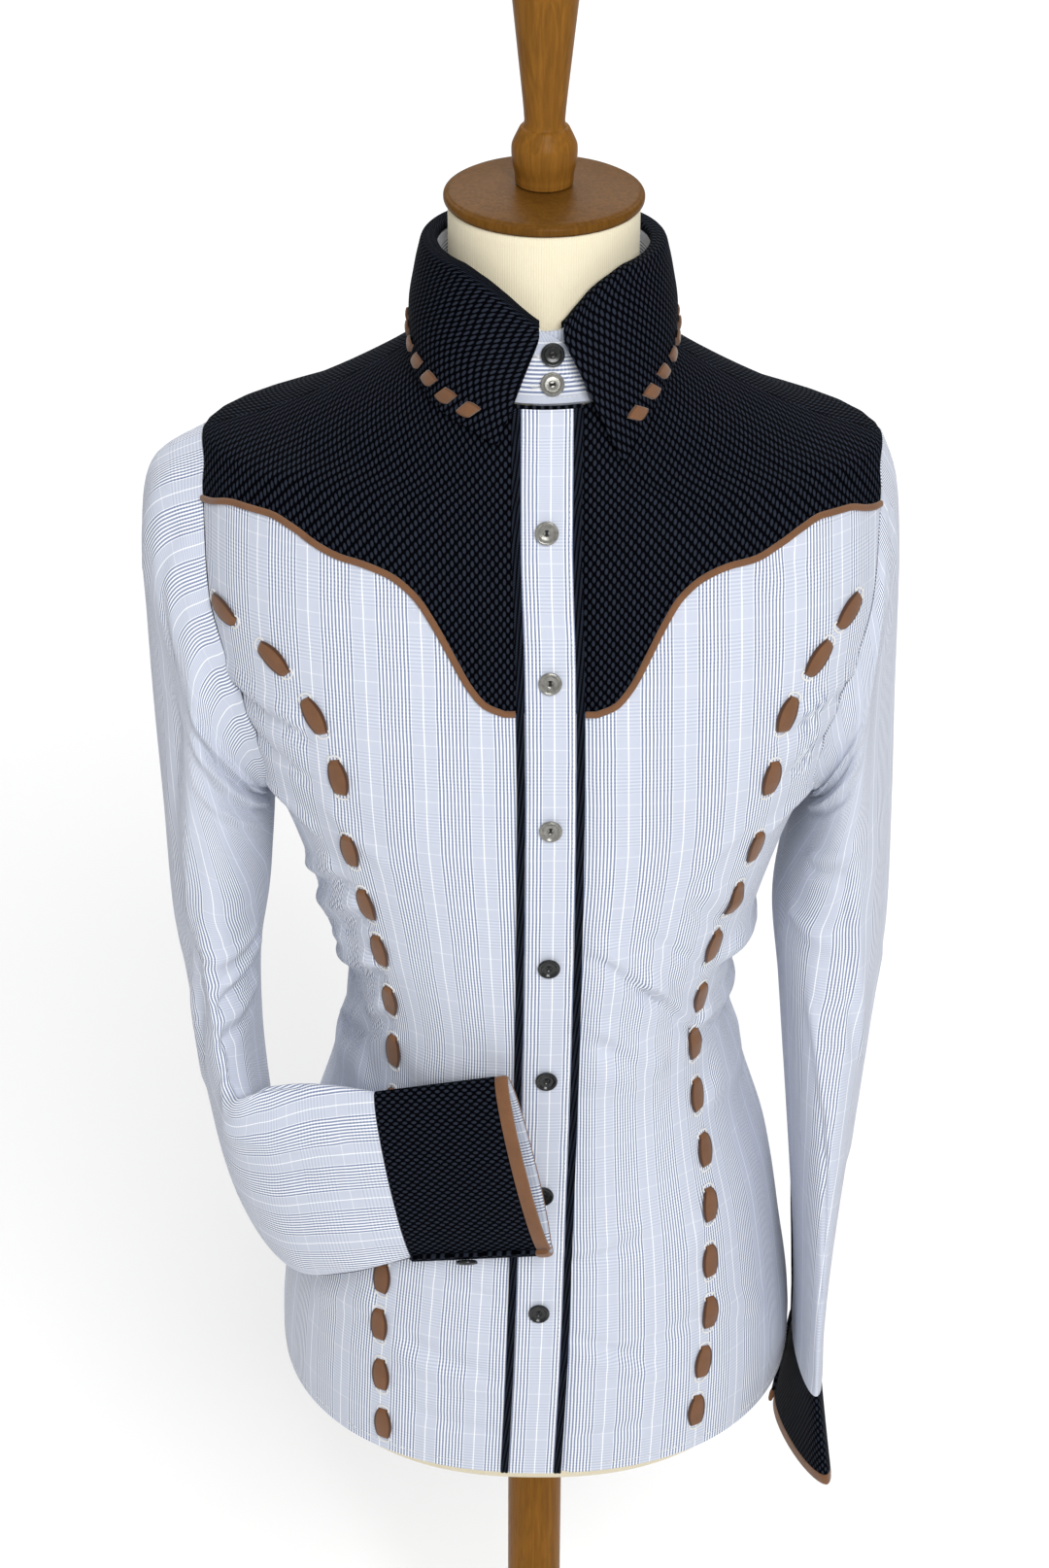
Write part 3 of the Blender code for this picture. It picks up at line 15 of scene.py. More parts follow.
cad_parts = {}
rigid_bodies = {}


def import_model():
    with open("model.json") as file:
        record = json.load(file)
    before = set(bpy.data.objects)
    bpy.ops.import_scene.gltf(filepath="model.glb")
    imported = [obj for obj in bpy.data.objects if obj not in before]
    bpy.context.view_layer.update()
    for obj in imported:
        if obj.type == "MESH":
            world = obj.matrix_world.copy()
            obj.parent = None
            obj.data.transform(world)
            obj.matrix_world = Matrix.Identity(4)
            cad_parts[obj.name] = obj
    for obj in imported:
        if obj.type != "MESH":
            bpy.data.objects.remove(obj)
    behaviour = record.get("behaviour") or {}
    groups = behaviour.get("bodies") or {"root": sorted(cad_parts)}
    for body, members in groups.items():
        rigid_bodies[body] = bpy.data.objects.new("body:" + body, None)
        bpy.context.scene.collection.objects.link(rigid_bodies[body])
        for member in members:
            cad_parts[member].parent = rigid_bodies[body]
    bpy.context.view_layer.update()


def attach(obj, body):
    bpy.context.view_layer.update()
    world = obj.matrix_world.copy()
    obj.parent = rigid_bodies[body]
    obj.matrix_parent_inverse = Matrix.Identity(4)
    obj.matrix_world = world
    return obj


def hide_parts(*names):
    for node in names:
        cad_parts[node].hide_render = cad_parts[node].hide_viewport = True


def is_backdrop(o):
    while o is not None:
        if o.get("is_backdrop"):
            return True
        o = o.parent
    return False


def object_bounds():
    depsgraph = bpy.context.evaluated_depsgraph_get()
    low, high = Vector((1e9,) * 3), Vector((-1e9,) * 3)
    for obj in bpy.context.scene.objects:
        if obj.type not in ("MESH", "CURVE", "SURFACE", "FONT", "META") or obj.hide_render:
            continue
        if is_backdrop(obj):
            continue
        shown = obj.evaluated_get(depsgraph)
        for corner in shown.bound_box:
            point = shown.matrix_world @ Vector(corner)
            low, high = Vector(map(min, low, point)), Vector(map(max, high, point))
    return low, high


for left_over in list(bpy.data.objects):
    bpy.data.objects.remove(left_over)
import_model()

# ---------------------------------------------------------------- driving dimensions
NECK_TOP = 1.170  # height of the neck's flat top above the floor
CLOTH = 0.0015  # wall of the shirt's panels
FORM_CLEARANCE = 0.0055  # from the panels' outer face in to the form
SEAM = 0.0003  # gap between pieces that are sewn together
HALF_SEAM = SEAM / 2

NECK_SEAM_FRONT, NECK_SEAM_SIDE, NECK_SEAM_BACK = 0.080, 0.071, 0.066
HEM_FRONT, HEM_SIDE, HEM_BACK = 0.736, 0.731, 0.736

ARMHOLE_TOP, ARMHOLE_BOTTOM = 0.129, 0.325
SLEEVE_SIDES = 16  # facets round a sleeve, and so points round an armhole
YOKE_SIDE_STEPS = 2  # the yoke seam meets the armhole this many points from its top

PLACKET_WIDTH = 0.0262
PLACKET_THICK = 0.0012
TRIM_WIDTH = 0.0045
TRIM_THICK = 0.0012
BUTTON_RADIUS = 0.0061
BUTTON_THICK = 0.0024

LACE_THICK = 0.0010
LACE_STITCH, COLLAR_LACE_STITCH = 0.0225, 0.0092  # length of each stitch that shows
COLLAR_LACE_INSET = 0.0085  # in from the collar's outer edge
COLLAR_LACE_START, COLLAR_LACE_PITCH = 0.012, 0.0152  # from a tip, and stitch to stitch
COLLAR_LACE_STITCHES = 9

CUFF_THICK = 0.0022
BINDING_LENGTH = 0.0075
BINDING_THICK = 0.0030

POLE_RADIUS = 0.0170
BASE_RADIUS, BASE_THICK = 0.160, 0.026

# ---------------------------------------------------------------- tables of sections
# Level sections of the shirt's body, from the neck down. half is half the width, front
# and back are the depths from the axis, and the squareness is the section's exponent.
BODY_COLUMNS = ("drop", "half", "front", "back", "square_front", "square_back")
BODY_SECTIONS = (
    (0.000, 0.0560, 0.0560, 0.0560, 2.0, 2.0),
    (0.050, 0.0560, 0.0570, 0.0570, 2.0, 2.0),
    (0.070, 0.0600, 0.0640, 0.0610, 2.0, 2.0),
    (0.085, 0.0800, 0.0770, 0.0710, 1.9, 1.9),
    (0.100, 0.1070, 0.0860, 0.0790, 1.85, 1.9),
    (0.115, 0.1400, 0.0930, 0.0860, 1.85, 1.9),
    (0.129, 0.1790, 0.0975, 0.0910, 2.0, 2.0),
    (0.145, 0.1830, 0.1030, 0.0960, 2.4, 2.4),
    (0.196, 0.1840, 0.1150, 0.1070, 2.8, 2.7),
    (0.229, 0.1790, 0.1215, 0.1100, 2.8, 2.7),
    (0.277, 0.1660, 0.1275, 0.1090, 2.7, 2.6),
    (0.310, 0.1520, 0.1295, 0.1050, 2.6, 2.5),
    (0.340, 0.1405, 0.1300, 0.1000, 2.5, 2.4),
    (0.394, 0.1245, 0.1280, 0.0900, 2.4, 2.3),
    (0.448, 0.1120, 0.1225, 0.0790, 2.3, 2.2),
    (0.484, 0.1112, 0.1220, 0.0765, 2.3, 2.2),
    (0.531, 0.1205, 0.1245, 0.0820, 2.3, 2.2),
    (0.588, 0.1370, 0.1300, 0.0970, 2.3, 2.2),
    (0.648, 0.1470, 0.1350, 0.1100, 2.3, 2.2),
    (0.717, 0.1555, 0.1390, 0.1170, 2.3, 2.2),
    (0.790, 0.1530, 0.1415, 0.1180, 2.3, 2.2),
)
# The body's largest folds, the same on both sides: soft ridges, and troughs where the
# height is negative, from one angle x and drop y to another.
FOLD_COLUMNS = ("x", "y", "to_x", "to_y", "half_width", "height")
BODY_FOLDS = (
    (74.0, 0.314, 60.0, 0.300, 0.017, 0.0022),
    (88.0, 0.420, 62.0, 0.404, 0.020, 0.0032),
    (88.0, 0.464, 60.0, 0.452, 0.018, -0.0022),
    (88.0, 0.510, 63.0, 0.497, 0.020, 0.0028),
    (17.0, 0.462, 30.0, 0.470, 0.018, 0.0020),
    (140.0, 0.400, 172.0, 0.424, 0.024, 0.0034),
    (126.0, 0.446, 160.0, 0.466, 0.022, -0.0024),
    (132.0, 0.490, 170.0, 0.506, 0.024, 0.0030),
)
FOLD_END = 0.020  # length over which a fold dies away at its ends
METRES_PER_DEGREE = 0.0022  # round the body, for the folds' widths
# The form's own half width where its shoulder plates stand inside the armholes.
PLATE_COLUMNS = ("drop", "half")
PLATE_SECTIONS = (
    (0.070, 0.0545),
    (0.085, 0.0730),
    (0.100, 0.0980),
    (0.115, 0.1270),
    (0.132, 0.1580),
    (0.160, 0.1640),
    (0.200, 0.1580),
    (0.250, 0.1470),
    (0.300, 0.1370),
    (0.340, 0.1345),
)
# How the form's closed bottom draws in below the hem.
BOTTOM_COLUMNS = ("drop", "inset")
BOTTOM_SECTIONS = (
    (0.715, 0.0000),
    (0.735, 0.0020),
    (0.752, 0.0080),
    (0.764, 0.0220),
    (0.770, 0.0450),
)
# Where the placket's middle lies, across the front.
PLACKET_COLUMNS = ("drop", "x")
PLACKET_LINE = (
    (0.080, 0.0024),
    (0.138, 0.0026),
    (0.214, 0.0050),
    (0.300, 0.0059),
    (0.383, 0.0056),
    (0.462, 0.0048),
    (0.584, 0.0025),
    (0.652, 0.0010),
    (0.736, -0.0022),
)
PLACKET_BUTTONS = (0.137, 0.213, 0.295, 0.3815, 0.461, 0.539, 0.618)

# The front yoke's lower edge, by its distance out from the placket's middle. The last
# point is where it meets the armhole.
YOKE_FRONT_COLUMNS = ("from_placket", "drop")
YOKE_FRONT_EDGE = (
    (0.0236, 0.2300),
    (0.0330, 0.2260),
    (0.0415, 0.2160),
    (0.0500, 0.2000),
    (0.0580, 0.1845),
    (0.0670, 0.1705),
    (0.0790, 0.1610),
    (0.0910, 0.1566),
    (0.1050, 0.1542),
    (0.1170, 0.1500),
    (0.1280, 0.1445),
    (0.1420, 0.1408),
    (0.1580, 0.1410),
    (0.1780, 0.1477),
)
# The back yoke's lower edge, as shares of the way from the centre to the armhole.
YOKE_COLUMNS = ("share", "drop")
YOKE_BACK_EDGE = (
    (0.00, 0.2250),
    (0.12, 0.2150),
    (0.30, 0.1850),
    (0.50, 0.1720),
    (0.75, 0.1600),
    (1.00, 0.1477),
)

# The armhole's depth to the front and to the back, by degrees round from its top.
ARMHOLE_COLUMNS = ("degrees", "front", "back")
ARMHOLE_DEPTH = (
    (0.0, 0.0, 0.0),
    (22.5, 0.029, 0.023),
    (45.0, 0.044, 0.036),
    (67.5, 0.057, 0.042),
    (90.0, 0.069, 0.046),
    (112.5, 0.076, 0.049),
    (135.0, 0.071, 0.045),
    (157.5, 0.043, 0.030),
    (180.0, 0.0, 0.0),
)

# Sleeve rings below the armhole. x is out from the axis, front and drop place the
# centre; thick is half across and wide half from front to back. The wide axis points
# along (wide_x, wide_front, wide_up), and out_up tips the outer edge up.
SLEEVE_COLUMNS = (
    "x", "front", "drop", "thick", "wide",
    "wide_x", "wide_front", "wide_up", "out_x", "out_front", "out_up",
)
LEFT_SLEEVE = (
    (0.1690, 0.002, 0.2600, 0.0826, 0.070, 0.0, 1.0, 0.0, 0.26, 0.0, 0.96),
    (0.1690, 0.002, 0.2975, 0.0620, 0.069, 0.0, 1.0, 0.0, 0.39, 0.0, 0.92),
    (0.1668, 0.004, 0.3525, 0.0425, 0.067, 0.0, 1.0, 0.0, 0.66, 0.0, 0.75),
    (0.1655, 0.009, 0.4250, 0.0315, 0.066, 0.0, 1.0, 0.0, 1.0, 0.0, 0.0),
    (0.1650, 0.020, 0.4850, 0.0250, 0.064, 0.02, 0.99, 0.10, 1.0, 0.0, 0.0),
    (0.1645, 0.030, 0.5450, 0.0185, 0.062, 0.04, 0.98, 0.18, 1.0, 0.0, 0.0),
    (0.1640, 0.040, 0.6100, 0.0120, 0.059, 0.04, 0.97, 0.22, 1.0, 0.0, 0.0),
    (0.1640, 0.047, 0.6700, 0.0075, 0.057, 0.03, 0.97, 0.22, 1.0, 0.0, 0.0),
    (0.1645, 0.052, 0.7180, 0.0070, 0.055, 0.03, 0.97, 0.22, 1.0, 0.0, 0.0),
)
RIGHT_SLEEVE = (
    (0.1800, 0.004, 0.2600, 0.0865, 0.069, 0.0, 1.0, 0.0, 0.38, 0.0, 0.92),
    (0.1810, 0.004, 0.3000, 0.0672, 0.068, 0.0, 1.0, 0.0, 0.48, 0.0, 0.88),
    (0.1804, 0.006, 0.3500, 0.0405, 0.067, 0.0, 1.0, 0.0, 0.72, 0.0, 0.69),
    (0.1805, 0.010, 0.4150, 0.0262, 0.066, 0.0, 1.0, 0.0, 1.0, 0.0, 0.0),
    (0.1795, 0.022, 0.4700, 0.0190, 0.064, 0.0, 0.95, 0.30, 1.0, 0.0, 0.0),
    (0.1715, 0.052, 0.5260, 0.0175, 0.067, 0.0, 0.75, 0.66, 1.0, 0.1, 0.0),
    (0.1570, 0.090, 0.5520, 0.0160, 0.072, 0.05, 0.30, 0.95, 0.75, 0.65, 0.0),
    (0.1290, 0.112, 0.5410, 0.0140, 0.066, 0.12, -0.05, 0.99, 0.25, 0.97, 0.0),
    (0.0800, 0.124, 0.5280, 0.0120, 0.0555, 0.18, -0.08, 0.98, 0.15, 0.99, 0.0),
)
SLEEVE_RINGS = 12
SLIT_RINGS = 3  # rings along which the sleeve's slit and its placket run
LEFT_HEAD, RIGHT_HEAD = 0.003, 0.012  # how far each sleeve's head stands out
# The sleeves' largest folds: soft troughs along them, by the turn round the sleeve from
# its outer edge towards its front, and by shares of the way down.
TROUGH_COLUMNS = ("turn", "to_turn", "start", "end", "spread", "depth")
LEFT_TROUGHS = (
    (58.0, 48.0, 0.10, 0.42, 30.0, 0.0042),
    (100.0, 84.0, 0.30, 0.66, 28.0, 0.0036),
    (300.0, 318.0, 0.22, 0.62, 30.0, 0.0040),
    (222.0, 236.0, 0.50, 0.84, 28.0, 0.0030),
)
RIGHT_TROUGHS = (
    (64.0, 46.0, 0.08, 0.38, 30.0, 0.0046),
    (40.0, 70.0, 0.36, 0.66, 28.0, 0.0050),
    (112.0, 96.0, 0.46, 0.80, 28.0, 0.0036),
    (306.0, 296.0, 0.20, 0.60, 30.0, 0.0044),
)
LEFT_CUFF_END = (0.1640, 0.060, 0.7830, 0.0105, 0.056, 0.20, 0.95, 0.24, 1.0, 0.0, 0.0)
RIGHT_CUFF_END = (0.0040, 0.146, 0.5020, 0.0125, 0.0575, 0.22, -0.10, 0.97, 0.15, 0.99, 0.0)

# The collar's outer edge on the shirt: angle round from the front, and drop.
FALL_COLUMNS = ("degrees", "drop")
FALL_EDGE_RIGHT = (
    (14.0, 0.0980),
    (25.0, 0.0925),
    (36.0, 0.0890),
    (55.0, 0.0825),
    (90.0, 0.0760),
    (135.0, 0.0790),
    (180.0, 0.0860),
)
FALL_EDGE_LEFT = (
    (21.0, 0.1060),
    (28.0, 0.0985),
    (38.0, 0.0905),
    (55.0, 0.0825),
    (90.0, 0.0760),
    (135.0, 0.0790),
    (180.0, 0.0860),
)

# The collar stand's top edge, and how far in its under layer lies at the front.
STAND_THICK = 0.0016
STAND_COLUMNS = ("degrees", "top", "in_share")
STAND_EDGE = (
    (-4.0, 0.0480, 1.0),
    (8.0, 0.0475, 1.0),
    (17.0, 0.0390, 1.0),
    (26.0, 0.0305, 1.0),
    (35.0, 0.0260, 0.0),
    (48.0, 0.0225, 0.0),
    (90.0, 0.0235, 0.0),
    (135.0, 0.0255, 0.0),
    (180.0, 0.0265, 0.0),
    (225.0, 0.0255, 0.0),
    (270.0, 0.0235, 0.0),
    (312.0, 0.0225, 0.0),
    (328.0, 0.0265, 0.0),
    (340.0, 0.0330, 0.0),
    (350.0, 0.0405, 0.0),
    (358.0, 0.0462, 0.0),
    (364.0, 0.0490, 0.0),
    (372.0, 0.0545, 0.0),
    (377.0, 0.0620, 0.0),
    (380.0, 0.0700, 0.0),
)
STAND_GAP = 0.0007  # above the neck seam
STAND_BUTTONS = (0.0585, 0.0722)
STAND_BUTTON_X = 0.0048

# The collar's rolled edge over the stand: rows of radius and drop from the stand's top.
COLLAR_THICK = 0.0018
COLLAR_ROLL = (
    (0.0545, -0.0008),
    (0.0548, -0.0045),
    (0.0618, -0.0050),
    (0.0645, 0.0025),
)
COLLAR_LIFT = 0.0042  # of its outer face at the edge, above the shoulder
LEAF_ROWS = 4  # from the roll to the edge
LEAF_START, LEAF_END = 9.6, 358.0  # degrees where its front edges meet the roll

# How much slimmer the form is, by drop, than it would be under the panels.
FORM_RING_COLUMNS = ("drop", "slimmer")
FORM_RINGS = (
    (0.000, 0.0), (0.050, 0.0), (0.063, 0.0010), (0.072, 0.0030), (0.080, 0.0030),
    (0.089, 0.0020), (0.100, 0.0010), (0.1115, 0.0), (0.770, 0.0),
)

# Turned wood: rows of radius and height above the neck's flat top.
CAP_PROFILE = (
    (0.0, 0.0), (0.0470, 0.0), (0.0495, 0.0002), (0.0508, 0.0009), (0.0512, 0.0020),
    (0.0512, 0.0036), (0.0506, 0.0047), (0.0490, 0.0055), (0.0470, 0.0062),
    (0.0300, 0.0084), (0.0140, 0.0088), (0.0, 0.0088),
)
FINIAL_PROFILE = (
    (0.0, 0.0092), (0.0135, 0.0092), (0.0148, 0.0115), (0.0150, 0.0150),
    (0.0165, 0.0220), (0.0166, 0.0300), (0.0128, 0.0385),
    (0.0103, 0.0430), (0.0140, 0.0800), (0.0175, 0.1130),
    (0.0180, 0.1200), (0.0145, 0.1275), (0.0, 0.1310),
)
LAYER = 0.0004  # gap between one piece of cloth and the one that lies on it
PLACKET_FLAP = PLACKET_WIDTH / 2 + TRIM_WIDTH
UNDERLAP = 0.010  # how far the left front runs past the placket's middle
LEVEL_FRONT = 24  # degrees from the front over which the neck seam stays level

# ---------------------------------------------------------------- finer sizes
FINE_SIDES = 96  # points round a sleeve and an armhole
RIDGE_STEPS, SKIRT_STEPS = 22, 118  # rows of the shoulder and below the armhole
FRONT_COLUMNS, BACK_HALF_COLUMNS = 58, 46
EASE_COLUMNS = 22  # by the armhole, where the front yoke's seam eases into its point
SLEEVE_ROWS = 170  # from the armhole to the cuff
BACK_YOKE_STEPS = YOKE_SIDE_STEPS * FINE_SIDES // SLEEVE_SIDES
FRONT_YOKE_STEPS = 10  # the front yoke's seam meets the armhole a little higher
SHELL = 0.0012  # thickness of the cloth that shows
PIPING_WIDE, PIPING_HIGH = 0.0018, 0.0012  # half across, and half its height
FRONT_PIPING_LIFT, BACK_PIPING_LIFT = 0.0010, 0.0012  # of its middle above the seam
PIPING_SIDES = 12

# How much the cloth is drawn together across the front, by drop: the stripes crowd at
# the waist.
GATHER_COLUMNS = ("drop", "share")
GATHER = (
    (0.10, 1.00),
    (0.30, 1.00),
    (0.38, 0.90),
    (0.46, 0.80),
    (0.52, 0.84),
    (0.60, 0.95),
    (0.68, 1.00),
    (0.78, 1.00),
)

# The smaller creases, over the largest folds that the solids have, in FOLD_COLUMNS.
# Angles under 0 are on the wearer's right.
BODY_CREASES = (
    # the wearer's right waist, up towards the lace
    (-70.0, 0.366, -50.0, 0.343, 0.0075, 0.0022),
    (-68.0, 0.376, -46.0, 0.352, 0.0060, -0.0015),
    (-80.0, 0.402, -45.0, 0.362, 0.0080, 0.0026),
    (-74.0, 0.412, -42.0, 0.372, 0.0060, -0.0019),
    (-84.0, 0.446, -46.0, 0.402, 0.0085, 0.0030),
    (-80.0, 0.458, -44.0, 0.412, 0.0062, -0.0021),
    (-84.0, 0.492, -47.0, 0.436, 0.0085, 0.0024),
    (-78.0, 0.502, -46.0, 0.448, 0.0060, -0.0016),
    (-66.0, 0.540, -50.0, 0.520, 0.0100, 0.0012),
    # the wearer's left waist, down from the placket towards the lace
    (11.0, 0.372, 30.0, 0.410, 0.0085, 0.0015),
    (12.0, 0.384, 28.0, 0.416, 0.0060, -0.0016),
    (27.0, 0.412, 47.0, 0.454, 0.0062, -0.0018),
    (26.0, 0.399, 45.0, 0.440, 0.0085, 0.0016),
    (24.0, 0.372, 42.0, 0.402, 0.0060, -0.0013),
    (34.0, 0.356, 48.0, 0.380, 0.0062, -0.0014),
    (36.0, 0.344, 50.0, 0.366, 0.0085, 0.0012),
    (15.0, 0.430, 34.0, 0.462, 0.0100, 0.0011),
    (16.0, 0.444, 32.0, 0.476, 0.0080, -0.0010),
    (54.0, 0.448, 84.0, 0.462, 0.0110, 0.0032),
    (56.0, 0.466, 86.0, 0.484, 0.0070, -0.0022),
    (55.0, 0.404, 86.0, 0.416, 0.0110, 0.0020),
    (58.0, 0.422, 84.0, 0.436, 0.0070, -0.0014),
    (58.0, 0.508, 82.0, 0.520, 0.0120, 0.0016),
    # out from the placket and across the lower fronts
    (8.0, 0.586, 20.0, 0.579, 0.0070, -0.0011),
    (8.0, 0.577, 22.0, 0.568, 0.0085, 0.0009),
    (8.0, 0.640, 22.0, 0.660, 0.0070, -0.0012),
    (10.0, 0.652, 24.0, 0.672, 0.0085, 0.0010),
    (18.0, 0.652, 34.0, 0.642, 0.0080, -0.0009),
    (9.0, 0.711, 20.0, 0.706, 0.0070, -0.0010),
    (-8.0, 0.612, -20.0, 0.600, 0.0080, -0.0009),
    (-10.0, 0.664, -26.0, 0.650, 0.0080, -0.0011),
    (-9.0, 0.676, -28.0, 0.662, 0.0090, 0.0009),
    (-9.0, 0.706, -22.0, 0.700, 0.0080, -0.0009),
    (-40.0, 0.634, -58.0, 0.652, 0.0120, 0.0012),
    (44.0, 0.640, 60.0, 0.660, 0.0120, 0.0012),
    # drawn from the armholes across the chest
    (-64.0, 0.246, -40.0, 0.256, 0.0075, -0.0018),
    (-66.0, 0.234, -42.0, 0.244, 0.0090, 0.0016),
    (-62.0, 0.268, -44.0, 0.282, 0.0080, -0.0013),
    (-70.0, 0.300, -52.0, 0.316, 0.0100, 0.0016),
    (64.0, 0.242, 42.0, 0.254, 0.0075, -0.0015),
    (66.0, 0.230, 44.0, 0.242, 0.0090, 0.0013),
    (63.0, 0.266, 46.0, 0.284, 0.0080, -0.0013),
    (70.0, 0.298, 52.0, 0.318, 0.0100, 0.0015),
    # on the yokes, from under the collar and in from the shoulders
    (18.0, 0.108, 34.0, 0.166, 0.0090, 0.0009),
    (24.0, 0.112, 40.0, 0.160, 0.0070, -0.0008),
    (-16.0, 0.110, -24.0, 0.170, 0.0090, 0.0008),
    (-50.0, 0.128, -62.0, 0.140, 0.0090, 0.0008),
    (52.0, 0.126, 64.0, 0.140, 0.0090, -0.0008),
    # beside the laces, where each stitch draws the cloth
    (-38.0, 0.300, -30.0, 0.322, 0.0100, 0.0008),
    (38.0, 0.310, 30.0, 0.330, 0.0100, 0.0008),
    (-46.0, 0.560, -38.0, 0.584, 0.0090, 0.0009),
    (46.0, 0.566, 38.0, 0.592, 0.0090, 0.0009),
    # the back: drawn in at the waist, and down from the yoke
    (122.0, 0.392, 158.0, 0.412, 0.0100, 0.0024),
    (128.0, 0.408, 150.0, 0.424, 0.0070, -0.0015),
    (150.0, 0.438, 196.0, 0.444, 0.0110, 0.0022),
    (158.0, 0.456, 204.0, 0.460, 0.0080, -0.0016),
    (204.0, 0.402, 240.0, 0.388, 0.0100, 0.0022),
    (210.0, 0.428, 244.0, 0.412, 0.0075, -0.0015),
    (136.0, 0.476, 170.0, 0.486, 0.0100, 0.0018),
    (190.0, 0.484, 228.0, 0.474, 0.0110, 0.0020),
    (198.0, 0.502, 226.0, 0.494, 0.0070, -0.0012),
    (140.0, 0.240, 134.0, 0.320, 0.0120, 0.0016),
    (218.0, 0.236, 226.0, 0.322, 0.0120, 0.0017),
    (166.0, 0.250, 170.0, 0.330, 0.0140, 0.0012),
    (150.0, 0.560, 146.0, 0.640, 0.0150, 0.0016),
    (206.0, 0.570, 212.0, 0.650, 0.0150, 0.0015),
)
CREASE_END = 0.012  # length over which a crease dies away at its ends
BODY_CREASE_LIFT = 1.5  # times the heights of BODY_CREASES

# The sleeves' creases, in FOLD_COLUMNS: x is the turn round the sleeve, and y the share
# of the way down it.
SLEEVE_LENGTH = 0.56  # from the shoulder to the cuff, for the creases' sizes
SLEEVE_PER_DEGREE = 0.0009  # metres
LEFT_CREASES = (
    (150.0, 0.150, 96.0, 0.185, 0.0085, 0.0030),
    (152.0, 0.172, 100.0, 0.210, 0.0060, -0.0022),
    (146.0, 0.215, 92.0, 0.245, 0.0085, 0.0026),
    (140.0, 0.240, 96.0, 0.272, 0.0060, -0.0018),
    (60.0, 0.060, 84.0, 0.210, 0.0090, 0.0016),
    (34.0, 0.060, 46.0, 0.200, 0.0080, -0.0014),
    (128.0, 0.330, 84.0, 0.360, 0.0090, 0.0024),
    (126.0, 0.352, 88.0, 0.384, 0.0065, -0.0018),
    (140.0, 0.420, 100.0, 0.440, 0.0090, 0.0020),
    (88.0, 0.400, 62.0, 0.560, 0.0085, -0.0018),
    (74.0, 0.420, 48.0, 0.580, 0.0090, 0.0016),
    (116.0, 0.520, 96.0, 0.680, 0.0080, 0.0018),
    (104.0, 0.640, 88.0, 0.860, 0.0070, -0.0015),
    (20.0, 0.500, 34.0, 0.700, 0.0090, 0.0012),
    (300.0, 0.160, 260.0, 0.200, 0.0090, 0.0022),
    (250.0, 0.380, 300.0, 0.410, 0.0100, 0.0022),
    (244.0, 0.404, 296.0, 0.436, 0.0070, -0.0016),
    (280.0, 0.560, 300.0, 0.720, 0.0090, 0.0016),
)
RIGHT_CREASES = (
    (150.0, 0.140, 92.0, 0.180, 0.0090, 0.0036),
    (152.0, 0.164, 96.0, 0.206, 0.0062, -0.0026),
    (150.0, 0.196, 90.0, 0.232, 0.0090, 0.0032),
    (148.0, 0.220, 98.0, 0.256, 0.0062, -0.0022),
    (142.0, 0.262, 94.0, 0.286, 0.0085, 0.0024),
    (70.0, 0.050, 88.0, 0.180, 0.0090, 0.0018),
    (44.0, 0.060, 58.0, 0.180, 0.0080, -0.0016),
    (20.0, 0.050, 28.0, 0.160, 0.0090, 0.0012),
    (62.0, 0.260, 44.0, 0.430, 0.0095, -0.0020),
    (82.0, 0.280, 60.0, 0.440, 0.0095, 0.0018),
    (152.0, 0.500, 112.0, 0.520, 0.0090, 0.0034),
    (150.0, 0.526, 104.0, 0.552, 0.0065, -0.0026),
    (156.0, 0.556, 96.0, 0.588, 0.0090, 0.0032),
    (150.0, 0.584, 92.0, 0.618, 0.0065, -0.0022),
    (140.0, 0.470, 96.0, 0.478, 0.0085, 0.0022),
    (70.0, 0.480, 40.0, 0.640, 0.0080, -0.0024),
    (52.0, 0.500, 24.0, 0.660, 0.0085, 0.0018),
    (96.0, 0.640, 60.0, 0.740, 0.0085, 0.0016),
    (104.0, 0.700, 84.0, 0.900, 0.0075, -0.0015),
    (40.0, 0.760, 30.0, 0.940, 0.0085, 0.0016),
    (20.0, 0.720, 12.0, 0.900, 0.0070, -0.0013),
    (300.0, 0.160, 256.0, 0.200, 0.0090, 0.0024),
    (250.0, 0.420, 310.0, 0.450, 0.0100, 0.0022),
    (320.0, 0.600, 290.0, 0.760, 0.0090, 0.0018),
)

# The middle of each patch of lace that shows, down each front.
PATCH_COLUMNS = ("drop", "x")
LEFT_PATCHES = (
    (0.1926, 0.1594),
    (0.2126, 0.1433),
    (0.2408, 0.1274),
    (0.2790, 0.1210),
    (0.3270, 0.1150),
    (0.3604, 0.1045),
    (0.3910, 0.0945),
    (0.4307, 0.0890),
    (0.4639, 0.0872),
    (0.5006, 0.0893),
    (0.5369, 0.0950),
    (0.5704, 0.0978),
    (0.6069, 0.0998),
    (0.6413, 0.1005),
    (0.6736, 0.0975),
    (0.7067, 0.0942),
)
RIGHT_PATCHES = (
    (0.1975, 0.1650),
    (0.2130, 0.1375),
    (0.2405, 0.1165),
    (0.2749, 0.1045),
    (0.3229, 0.1000),
    (0.3591, 0.0920),
    (0.3899, 0.0855),
    (0.4277, 0.0808),
    (0.4647, 0.0797),
    (0.5020, 0.0810),
    (0.5390, 0.0830),
    (0.5765, 0.0858),
    (0.6130, 0.0881),
    (0.6456, 0.0903),
    (0.6805, 0.0898),
    (0.7156, 0.0890),
)

